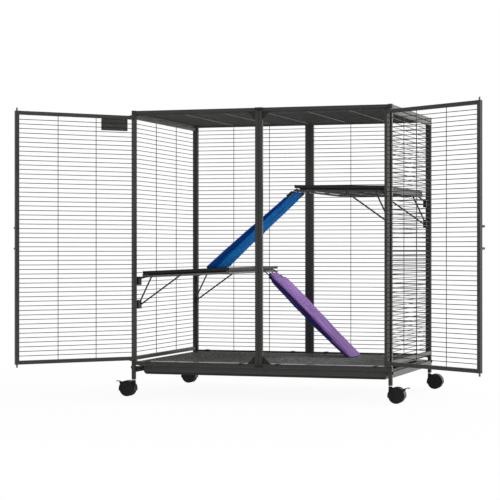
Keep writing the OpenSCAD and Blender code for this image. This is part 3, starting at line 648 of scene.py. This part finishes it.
def tube_round(path: np.ndarray, radius: float, sides: int) -> np.ndarray:
    """Carry a circle round a closed flat path.

    The circle stands square to the path: its first arm is the path's tangent crossed with the
    direction that the path bends least in, its second arm the tangent crossed with the first.

    Args:
        path: Array of points x 3, whose end joins its start.
        radius: Radius of the circle.
        sides: Points on the circle.

    Returns:
        Grid of points x sides x 3.
    """
    tangent = np.roll(path, -1, 0) - np.roll(path, 1, 0)
    tangent /= np.linalg.norm(tangent, axis=1, keepdims=True)
    spread = np.linalg.svd(path - path.mean(0), full_matrices=False)[2]
    first = np.cross(tangent, spread[2])
    first /= np.linalg.norm(first, axis=1, keepdims=True)
    second = np.cross(tangent, first)
    angle = np.linspace(0.0, 2 * np.pi, sides, endpoint=False)
    return (path[:, None] + radius * (np.cos(angle)[None, :, None] * first[:, None]
                                      + np.sin(angle)[None, :, None] * second[:, None]))


# ---- sub-assemblies


def build_finishes() -> dict[str, bpy.types.Material]:
    """Build every finish of the cage once.

    The pan's paint is black up to the height at which its bottom bends into its walls: painted
    shade on the bevel that faces down.

    Returns:
        The materials by the names that the sub-assemblies use.
    """
    pan_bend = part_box("pan")[0].z + 8.5 * MM
    makers = {
        "frame": HammerPaint("hammer_grey"),
        "wire": WirePaint("wire_grey"),
        # The top grille's wires take a lighter copy of the same wire coat: painted light on the
        # grille seen from below
        "top_wire": WirePaint("top_wire_painted_light_grey", (82, 83, 80)),
        # The floor grille's wires are a much lighter copy of the wire coat: painted highlight for
        # the glints along their tops
        "floor_wire_painted_glint": WirePaint("floor_wire_painted_glint_grey", (104, 105, 101), gloss=0.5, roughness=0.2),
        # The lower shelf's bars take a lighter copy of the frame's grey coat: painted light
        "shelf_bar": HammerPaint("shelf_grey_painted_light", (118, 120, 115), (92, 94, 90)),
        "bolt": ZincSteel("bolt_steel", (92, 93, 92)),
        "bracket": HammerPaint("hammer_black", (34, 35, 34), (20, 21, 20), gloss=0.2),
        # The pan's black below its bend is painted shade on its down-facing bevel
        "pan": HammerPaint("pan_grey", (80, 81, 77), (62, 63, 60), cells_per_metre=300.0,
                           relief=0.04 * MM, painted_shade_below=pan_bend),
        "plastic": MouldedPlastic("black_plastic"),
        "tray": MouldedPlastic("tray_black", (17, 19, 19), 700.0, 0.4),
        "steel": ZincSteel("zinc_steel"),
        "tread": MouldedPlastic("tread_black", (19, 19, 19), 900.0, 0.55),
    }
    return {name: maker.build() for name, maker in makers.items()}


def dress(frame: dict[str, Any], nodes: Iterable[str], material: bpy.types.Material) -> None:
    """Give CAD nodes a finish.

    Args:
        nodes: Names of the nodes.
        material: The finish.
    """
    for name in nodes:
        node = frame["nodes"][name]
        for slot in node.material_slots:
            slot.material = material
        log.info("dressed %s", name)


def joint_point(frame: dict[str, Any], name: str) -> np.ndarray:
    """Return the point in metres that a packed joint turns about."""
    return np.array(next(j for j in frame["joints"] if j["name"] == name)["pos_m"], float)


def read_points(piece: bpy.types.Object) -> np.ndarray:
    """Read a mesh's points.

    Args:
        piece: Object that has the mesh.

    Returns:
        Array of points x 3.
    """
    flat = np.empty(len(piece.data.vertices) * 3, np.float32)
    piece.data.vertices.foreach_get("co", flat)
    return flat.reshape(-1, 3).astype(float)


# Which finish each node of the cage, the shelves, the pan and the ramps' frames takes
LOOKS: dict[str, tuple[str, ...]] = {
    "frame": ("left_side_frame", "right_side_frame", "back_left_frame", "back_right_frame",
              "front_left_frame", "front_right_frame", "top_frame", "pan_runners",
              "hinge_brackets", "upper_shelf_frame", "lower_shelf_hangers",
              "upper_shelf_hangers"),
    "wire": ("left_side_wires", "right_side_wires", "back_left_wires", "back_right_wires",
             "lower_ramp_frame", "upper_ramp_frame"),
    # Lighter wire coat on the top grille: painted light
    "top_wire": ("top_wires",),
    # Lighter wire coat on the floor grille: painted highlight
    "floor_wire_painted_glint": ("floor_left_grille", "floor_right_grille"),
    # Lighter copy of the frame's coat on the lower shelf: painted light
    "shelf_bar": ("lower_shelf_frame",),
    "bracket": ("front_gussets", "bolt_keepers", "grille_clips"),
    "plastic": ("post_caps", "panel_bolts", "lower_shelf_clips", "upper_shelf_clips",
                "lower_ramp_clips", "upper_ramp_clips"),
    "tray": ("lower_shelf_tray", "upper_shelf_tray"),
    "steel": ("caster_stems",),
    "pan": ("pan",),
}


@dataclass
class CageFrame:
    """The fixed cage: welded panels, grilles, shelves and their fittings."""

    frame: dict[str, Any]
    finishes: dict[str, bpy.types.Material]
    tube: float = 12.7 * MM
    corner: float = 1.5 * MM
    bead: float = 1.1 * MM
    bead_sides: int = 8

    def dress(self) -> None:
        """Give every node of the fixed cage, the pan and the ramps' frames its finish."""
        for finish, nodes in LOOKS.items():
            dress(self.frame, nodes, self.finishes[finish])

    def weld_beads(self) -> bpy.types.Object:
        """Make the fillet of weld round each rail's end, where it meets a leg or a stile.

        A bead is a thin tube carried round the rail's own rounded square.

        Returns:
            One piece with all beads of the side and front panels.
        """
        side_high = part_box("right_side_frame")[1]
        front_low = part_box("front_right_frame")[0]
        wires_low, wires_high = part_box("right_side_wires")
        half = self.tube / 2
        inner_y = side_high.y - self.tube
        inner_x = side_high.x - self.tube
        rail_mid = side_high.z - half
        front_y = front_low.y + half
        loop = rounded_loop(self.tube, self.tube, self.corner)
        level = np.zeros(len(loop))
        surface = Surface()
        for side in (-1.0, 1.0):
            rings = [np.stack([side * (side_high.x - half) + loop[:, 0], level + end * inner_y,
                               z + loop[:, 1]], -1)
                     for end in (-1.0, 1.0)
                     for z in (wires_low.z - half, wires_high.z + half, rail_mid)]
            rings += [np.stack([level + side * x, front_y + loop[:, 0], z + loop[:, 1]], -1)
                      for z in (rail_mid, front_low.z + half)
                      for x in (inner_x, self.tube)]
            for ring in rings:
                surface.add_grid(tube_round(ring, self.bead, self.bead_sides), True, True)
        piece = surface.make("cage_weld_beads", self.finishes["frame"])
        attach(piece, "cage")
        log.info("made %s", piece.name)
        return piece


@dataclass
class Door:
    """One wire door with its slide bolts."""

    frame: dict[str, Any]
    finishes: dict[str, bpy.types.Material]
    side: str

    def dress(self) -> None:
        """Give the door's nodes their finish."""
        bolts = (f"{self.side}_top_bolt", f"{self.side}_bottom_bolt")
        dress(self.frame, (f"{self.side}_door_frame",), self.finishes["frame"])
        dress(self.frame, (f"{self.side}_door_wires",), self.finishes["wire"])
        dress(self.frame, bolts, self.finishes["bolt"])


@dataclass
class NamePlate:
    """The bare plate on the left door: a shallow dished sheet with a rolled edge and rivets.

    Its face is a row of rings: how far each lies inside the rim, in millimetres, and how far it
    stands out, as a share of the thickness.
    """

    frame: dict[str, Any]
    finishes: dict[str, bpy.types.Material]
    corner: float = 3.0 * MM
    least_corner: float = 0.4 * MM
    insets: tuple[float, ...] = (0.0, 0.25, 0.9, 1.6, 2.4, 6.0, 14.0)
    lifts: tuple[float, ...] = (-0.5, 0.25, 0.5, 0.42, 0.25, 0.2, 0.2)
    rivet: float = 2.2 * MM
    rivet_in: tuple[float, float] = (8 * MM, 7 * MM)
    rivet_rise: float = 0.5
    rivet_turn: float = np.pi / 2 * 0.92

    def make(self) -> bpy.types.Object:
        """Build the plate in the place of its CAD node.

        Rings of a rounded rectangle shrink from the rim to the middle; each ring's height
        follows its distance from the rim, so the sheet rolls over and then lies flat.

        Returns:
            The plate, which replaces left_door_plate.
        """
        points = read_points(self.frame["nodes"]["left_door_plate"])
        middle = (points.min(0) + points.max(0)) / 2
        spread = np.linalg.svd(points - points.mean(0), full_matrices=False)[2]
        normal = spread[2] * (1.0 if spread[2][0] < 0 else -1.0)
        upright = np.array([0.0, 0.0, 1.0])
        arms = np.stack([np.cross(upright, normal), upright])
        size = np.ptp((points - middle) @ arms.T, axis=0)
        thick = np.ptp((points - middle) @ normal)
        insets = np.array(self.insets) * MM
        lifts = np.array(self.lifts) * thick
        back = [(inset, -0.5 * thick) for inset in insets[:0:-1]]
        rings = [middle + self.ring(size, inset) @ arms + lift * normal
                 for inset, lift in back + list(zip(insets, lifts))]
        surface = Surface().add_grid(np.stack(rings), False, True, True)
        for corner in ((-1.0, -1.0), (-1.0, 1.0), (1.0, -1.0), (1.0, 1.0)):
            seat = middle + (corner * (size / 2 - self.rivet_in)) @ arms + lifts[-1] * normal
            surface.add_grid(self.dome(seat, arms, normal), False, True, True)
        piece = surface.make("name_plate_sheet", self.finishes["frame"])
        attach(piece, "left_door")
        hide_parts("left_door_plate")
        log.info("made %s", piece.name)
        return piece

    def ring(self, size: np.ndarray, inset: float) -> np.ndarray:
        """Return the rounded rectangle that lies this far inside the plate's rim."""
        radius = max(self.corner - inset, self.least_corner)
        return rounded_loop(size[0] - 2 * inset, size[1] - 2 * inset, radius, 6)

    def dome(self, seat: np.ndarray, arms: np.ndarray, normal: np.ndarray) -> np.ndarray:
        """Build a rivet's head: circles that shrink as a quarter sine while they rise.

        Args:
            seat: Centre of the rivet on the plate.
            arms: The plate's two directions.
            normal: Its outward direction.

        Returns:
            Grid of rings x points x 3.
        """
        angle = np.linspace(0.0, 2 * np.pi, 16, endpoint=False)
        circle = np.stack([np.cos(angle), np.sin(angle)], -1) @ arms
        rings = [seat + self.rivet * (math.cos(t) * circle
                                      + self.rivet_rise * math.sin(t) * normal)
                 for t in np.linspace(0.0, self.rivet_turn, 6)]
        return np.stack(rings)


# Settings of the cloth that fills out a ramp's pad
STUFFING: dict[str, Any] = {
    "quality": 4, "mass": 0.2, "use_pressure": True, "uniform_pressure_force": 3.0,
    "tension_stiffness": 12.0, "compression_stiffness": 12.0, "bending_stiffness": 0.4,
}


@dataclass
class RampCover:
    """The padded fleece sleeve of a ramp, with the tab at its top.

    The heights of its upper and lower face are curves through four knots each, given as the
    distance from the hinge and the height above the hinge's line, in millimetres.
    """

    frame: dict[str, Any]
    which: str
    cloth: PileCloth
    slot: str
    run_side: float
    slope: float
    reach: float
    length: float
    upper_face: tuple[tuple[float, float], ...]
    lower_face: tuple[tuple[float, float], ...]
    tab_top: float
    wrap: float
    landing: float
    pivot: float
    width: float = 150 * MM
    waist: float = 2 * MM
    end_round: float = 8 * MM
    end_least: float = 0.5
    side_power: float = 0.2
    face_power: float = 0.3
    wall_share: float = 0.965
    seam: float = 0.9 * MM
    seam_share: float = 0.955
    seam_spread: float = 0.012
    puff: float = 0.5 * MM
    puff_along: float = 19 * MM
    puff_across: float = 31 * MM
    foot_share: float = 0.16
    tab_width: float = 100 * MM
    tab_out: float = 25 * MM
    tab_in: float = 12 * MM
    tab_thick: float = 9 * MM
    tab_corner: float = 8 * MM
    tab_edge: tuple[tuple[float, float], ...] = ((3.2, 0.0), (1.2, 0.5), (0.25, 1.5), (0.0, 3.0))
    rows: int = 120
    row_ease: float = 0.6
    columns: int = 96
    settle_steps: int = 12
    settle_most: float = 1.6 * MM
    settle_foot: float = 30 * MM

    def hinge(self) -> np.ndarray:
        """Return the ramp's hinge point."""
        return joint_point(self.frame, f"{self.which}_ramp_lift")

    def place(self, local: np.ndarray) -> np.ndarray:
        """Carry points from the ramp's own frame into the model's.

        Args:
            local: Array ending in (down the slope, across, up from the slope).

        Returns:
            The same points in the model's frame.
        """
        sin, cos = math.sin(self.slope), math.cos(self.slope)
        u, v, w = local[..., 0], local[..., 1], local[..., 2]
        x = (u * cos + w * sin) * self.run_side
        z = -u * sin + w * cos
        return np.stack([x, v, z], -1) + self.hinge()

    def face(self, knots: tuple[tuple[float, float], ...], u: np.ndarray) -> np.ndarray:
        """Return a face's height: the polynomial that runs through its knots."""
        at, height = np.array(knots, float).T
        return np.polyval(np.polyfit(at, height, len(at) - 1), u / MM) * MM

    def sheet(self) -> tuple[np.ndarray, np.ndarray]:
        """Work out the pad's closed surface.

        Round the pad the section is a superellipse, |y/a|^n + |z/b|^n = 1, between the lower and
        the upper face. Its half width a narrows at both ends and a little in the middle, b closes
        over the ends like a quarter circle down to a blunt end, and a narrow valley follows each
        long edge as its seam. Towards the foot each point slides along the slope by its height
        over the pivot times the cotangent of the landing's angle, so that the end lies flat on
        what it stands on. The band number is 0 on top, 1 on the side walls and 2 below.

        Returns:
            The grid of rows x columns x 3 and the band number of each point.
        """
        t = np.linspace(0.0, 1.0, self.rows)
        ease = (1 - np.cos(np.pi * t)) / 2
        u = (self.row_ease * ease + (1 - self.row_ease) * t)[:, None] * self.length
        angle = (np.linspace(0.0, 2 * np.pi, self.columns, endpoint=False)
                 + np.pi / self.columns)[None, :]
        edge = np.minimum(u, self.length - u) / self.end_round
        close = np.sqrt(np.clip(1 - np.clip(1 - edge, 0, 1) ** 2, self.end_least, 1))
        middle = np.sin(np.pi * u / self.length)
        half = self.width / 2 - self.waist * middle - self.end_round * (1 - close)
        upper = self.face(self.upper_face, self.reach + u)
        lower = self.face(self.lower_face, self.reach + u)
        c, s = np.cos(angle), np.sin(angle)
        y = half * np.sign(c) * np.abs(c) ** self.side_power
        swell = np.sign(s) * np.abs(s) ** self.face_power
        z = (upper + lower) / 2 + (upper - lower) / 2 * close * swell
        share = np.abs(y) / half
        wall = (share > self.wall_share) & (z < upper - self.wrap)
        band = np.where(wall, 1.0, np.where(s > 0, 0.0, 2.0))
        valley = np.exp(-((share - self.seam_share) / self.seam_spread) ** 2) * self.seam
        puff = self.puff * np.sin(u / self.puff_along + 2.0 * np.sin(y / self.puff_across))
        z = z - np.sign(s) * valley + puff * middle * np.abs(s) ** 2
        foot = np.clip((u / self.length - 1 + self.foot_share) / self.foot_share, 0.0, 1.0)
        lean = foot ** 2 / math.tan(self.landing)
        return np.stack([self.reach + u + lean * (z - self.pivot), y, z], -1), band

    def tab(self) -> np.ndarray:
        """Build the flat tab: rounded rectangles that draw in over a soft edge at both faces.

        Returns:
            Grid of rings x points x 3.
        """
        long = self.tab_out + self.tab_in
        start = self.reach - self.tab_out + long / 2
        low = [(inset, self.tab_top - self.tab_thick + rise * MM) for inset, rise in self.tab_edge]
        high = [(inset, self.tab_top - rise * MM) for inset, rise in self.tab_edge[::-1]]
        rings = []
        for inset, z in low + high:
            loop = rounded_loop(long - 2 * inset * MM, self.tab_width - 2 * inset * MM,
                                self.tab_corner - inset * MM)
            rings.append(np.stack([start + loop[:, 0], loop[:, 1], np.full(len(loop), z)], -1))
        return np.stack(rings)

    def settle(self, piece: bpy.types.Object) -> np.ndarray:
        """Blow the pad up a little with cloth pressure and keep the moves small.

        Near the foot no point moves down or along the slope, so that it stays on its landing.

        Args:
            piece: The closed pad.

        Returns:
            Its points after the cloth has come to rest.
        """
        rest = read_points(piece)
        cloth = piece.modifiers.new("stuffing", "CLOTH")
        for key, value in STUFFING.items():
            setattr(cloth.settings, key, value)
        cloth.settings.effector_weights.gravity = 0.0
        scene = bpy.context.scene
        for step in range(1, self.settle_steps + 1):
            scene.frame_set(step)
        graph = bpy.context.evaluated_depsgraph_get()
        moved = read_points(piece.evaluated_get(graph))
        piece.modifiers.remove(cloth)
        scene.frame_set(1)
        shift = moved - rest
        reach = np.linalg.norm(shift, axis=1, keepdims=True)
        shift *= np.minimum(1.0, self.settle_most / np.maximum(reach, 1e-9))
        up = np.array([math.sin(self.slope) * self.run_side, 0.0, math.cos(self.slope)])
        along = np.array([math.cos(self.slope) * self.run_side, 0.0, -math.sin(self.slope)])
        foot = (rest - self.hinge()) @ along > self.reach + self.length - self.settle_foot
        shift -= np.where(foot, np.minimum(shift @ up, 0.0), 0.0)[:, None] * up
        shift -= np.where(foot, np.maximum(shift @ along, 0.0), 0.0)[:, None] * along
        return rest + shift

    def make(self) -> bpy.types.Object:
        """Build the pad, settle it and add its tab.

        Returns:
            The cover, which replaces the CAD pad.
        """
        grid, band = self.sheet()
        material = self.cloth.build()
        surface = Surface().add_grid(self.place(grid), False, True, True, band)
        pad = surface.make(f"{self.which}_ramp_pad", material, 60.0)
        surface.points[0] = self.settle(pad)
        bpy.data.objects.remove(pad)
        tab = self.tab()
        band = np.broadcast_to(np.linspace(2.0, 0.0, len(tab))[:, None], tab.shape[:2])
        surface.add_grid(self.place(tab), False, True, True, band)
        piece = surface.make(f"{self.which}_ramp_fleece", material, 60.0)
        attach(piece, f"{self.which}_ramp")
        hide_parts(f"{self.which}_ramp_cover")
        log.info("made %s", piece.name)
        return piece


def ramp_covers(frame: dict[str, Any]) -> tuple[RampCover, RampCover]:
    """Describe the covers of both ramps, each with its own filling and colours.

    The upper ramp stands on the lower shelf's tray, which is tilted, and the lower one on the
    level floor grille.


    Returns:
        The upper and the lower cover.
    """
    purple = (146, 111, 175)
    upper_slope, lower_slope = math.radians(39.654), math.radians(43.947)
    tray_tilt = math.radians(2.54)
    upper = RampCover(
        frame, "upper", slot="blue_cover", run_side=-1.0, slope=upper_slope,
        # The side colour is the underside's blue darkened as painted shade
        cloth=PileCloth("upper_fleece", purple, (4, 64, 146), (0, 98, 170), upper_slope),
        reach=38 * MM, length=369 * MM,
        upper_face=((38, 8.8), (150, 9.4), (280, 10.2), (407, 7.2)),
        lower_face=((38, 0.0), (149, -6.2), (290, -12.8), (407, -20.0)),
        tab_top=9.8 * MM, wrap=3.0 * MM, landing=upper_slope - tray_tilt, pivot=-1.9 * MM)
    lower = RampCover(
        frame, "lower", slot="purple_cover", run_side=1.0, slope=lower_slope,
        # The side colour is the blue darkened towards navy as painted shade
        cloth=PileCloth("lower_fleece", purple, (72, 60, 138), (0, 84, 160), -lower_slope),
        reach=42 * MM, length=395 * MM,
        upper_face=((42, 17.4), (100, 19.0), (230, 17.6), (437, 12.6)),
        lower_face=((42, -3.0), (221, -8.6), (358, -6.2), (437, -1.6)),
        tab_top=12.3 * MM, wrap=6.5 * MM, landing=lower_slope, pivot=0.7 * MM)
    return upper, lower


@dataclass
class Caster:
    """A hooded twin-wheel caster.

    A wheel's outer face is given by the inset from the rim, or for its hub by the radius, and the
    depth below the rim's side.
    """

    frame: dict[str, Any]
    finishes: dict[str, bpy.types.Material]
    place: str
    braked: bool
    wheel_r: float = 26 * MM
    gap: float = 6.8 * MM
    width: float = 9.5 * MM
    edge_r: float = 1.6 * MM
    bore_r: float = 3.05 * MM
    bore_bevel: float = 0.4 * MM
    hub_wall: float = 2.5 * MM
    rim: tuple[tuple[float, float], ...] = ((3.6, 0.0), (4.2, 0.25), (4.8, 0.8), (8.0, 0.85))
    hub: tuple[tuple[float, float], ...] = ((7.0, 0.7), (2.0, 0.6))
    steps: int = 72

    def wheel_profile(self) -> list[tuple[float, float]]:
        """Trace half a wheel's section: blind bore, inner face, tread, recessed outer face.

        Returns:
            Radius and height of each point.
        """
        r, w, edge = self.wheel_r, self.width, self.edge_r
        turn = np.linspace(0.0, np.pi / 2, 6)
        bore = [(self.bore_r, w - self.hub_wall), (self.bore_r, self.bore_bevel),
                (self.bore_r + self.bore_bevel, 0.0)]
        inner = [(r - edge + edge * math.sin(a), edge - edge * math.cos(a)) for a in turn]
        outer = [(r - edge + edge * math.cos(a), w - edge + edge * math.sin(a)) for a in turn]
        rim = [(r - inset * MM, w - depth * MM) for inset, depth in self.rim]
        hub = [(radius * MM, w - depth * MM) for radius, depth in self.hub]
        return bore + inner + outer + rim + hub

    def make(self) -> bpy.types.Object:
        """Build the pair of wheels in the place of their CAD node.

        Returns:
            The wheels, which replace the node.
        """
        surface = Surface()
        for side in (-1.0, 1.0):
            grid = np.swapaxes(lathe(self.wheel_profile(), self.steps), 0, 1)
            grid = (grid + np.array([0.0, self.gap, 0.0])) * np.array([1.0, side, 1.0])
            surface.add_grid(grid + joint_point(self.frame, f"{self.place}_roll"),
                             False, True, True)
        piece = surface.make(f"{self.place}_twin_wheels", self.finishes["tread"], 35.0)
        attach(piece, f"{self.place}_wheels")
        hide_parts(f"{self.place}_caster_wheels")
        log.info("made %s", piece.name)
        return piece

    def dress(self) -> None:
        """Give the caster's CAD nodes their finish."""
        dress(self.frame, (f"{self.place}_caster_housing",), self.finishes["plastic"])
        dress(self.frame, (f"{self.place}_caster_axle",), self.finishes["steel"])
        if self.braked:
            dress(self.frame, (f"{self.place}_brake_lever",), self.finishes["plastic"])


# ---- studio


@dataclass(frozen=True)
class Lamp:
    """A square soft lamp: its place, the length of its side in metres and its power in watts."""

    name: str
    place: tuple[float, float, float]
    size: float
    watts: float


@dataclass
class Studio:
    """White studio: camera at the photograph's viewpoint, floor, world and lamps.

    The key lamp hangs low behind at the right, a soft one above and a weak one in front.
    """

    eye: tuple[float, float, float] = (1.7094, -5.7314, 0.5014)
    heading: float = math.radians(17.811)
    lens: float = 122.15
    sensor: float = 36.0
    far_clip: float = 60.0
    aim: tuple[float, float, float] = (0.0, 0.0, 0.5)
    world_level: float = 0.35
    floor_reach: float = 12.0
    floor_drop: float = 0.5 * MM
    lamps: tuple[Lamp, ...] = (Lamp("key_right", (4.2, 2.4, 1.0), 2.2, 320.0),
                               Lamp("top_soft", (0.0, 0.5, 4.5), 3.0, 95.0),
                               Lamp("front_fill", (-1.5, -5.0, 1.6), 2.0, 20.0))

    def camera(self) -> None:
        """Put the camera level at the photograph's viewpoint."""
        data = bpy.data.cameras.new("photo_camera")
        data.sensor_width = self.sensor
        data.lens = self.lens
        data.clip_end = self.far_clip
        camera = link_object("photo_camera", data)
        camera.location = self.eye
        camera.rotation_euler = (math.pi / 2, 0.0, self.heading)
        bpy.context.scene.camera = camera

    def floor(self) -> None:
        """Lay the white floor, a large flat grid just below the wheels."""
        reach = np.linspace(-self.floor_reach, self.floor_reach, 3)
        x, y = np.meshgrid(reach, reach, indexing="ij")
        points = np.stack([x, y, np.full_like(x, -self.floor_drop)], -1).reshape(-1, 3)
        mesh = bpy.data.meshes.new("studio_floor")
        mesh.from_pydata(points.tolist(), [], grid_faces(3, 3, False, False).tolist())
        mesh.materials.append(StudioWhite("studio_white").build())
        link_object("studio_floor", mesh)

    def world(self) -> None:
        """Fill the world with soft light and show it white to the eye and in gloss."""
        s = Shader("studio_world", bpy.data.worlds)
        bpy.context.scene.world = s.block
        level = s.node("ShaderNodeMapRange", {}, {"Value": s.seen(), "To Min": self.world_level})
        values = {"Color": WHITE, "Strength": level.outputs[0]}
        back = s.node("ShaderNodeBackground", {}, values)
        s.node("ShaderNodeOutputWorld", {}, {"Surface": back.outputs[0]})

    def hang(self, lamp: Lamp) -> None:
        """Hang a lamp so that it faces the cage.

        Args:
            lamp: What to hang, and where.
        """
        data = bpy.data.lights.new(lamp.name, "AREA")
        data.size = lamp.size
        data.energy = lamp.watts
        light = link_object(lamp.name, data)
        light.location = lamp.place
        aim = Vector(self.aim) - Vector(lamp.place)
        light.rotation_euler = aim.to_track_quat("-Z", "Y").to_euler()

    def build(self) -> None:
        """Set up the whole studio, in which colours show as they are written."""
        bpy.context.scene.view_settings.view_transform = "Standard"
        self.camera()
        self.floor()
        self.world()
        for lamp in self.lamps:
            self.hang(lamp)


def main() -> None:
    """Load the model, dress and complete it, and set up the studio."""
    logging.basicConfig(level=logging.INFO, format="%(name)s: %(message)s")
    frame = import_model()
    finishes = build_finishes()
    cage = CageFrame(frame, finishes)
    cage.dress()
    cage.weld_beads()
    for side in ("left", "right"):
        Door(frame, finishes, side).dress()
    NamePlate(frame, finishes).make()
    for cover in ramp_covers(frame):
        cover.make()
    for place in ("front_left", "front_right", "rear_left", "rear_right"):
        caster = Caster(frame, finishes, place, braked=place.startswith("front"))
        caster.dress()
        caster.make()
    Studio().build()


if __name__ == "__main__":
    main()
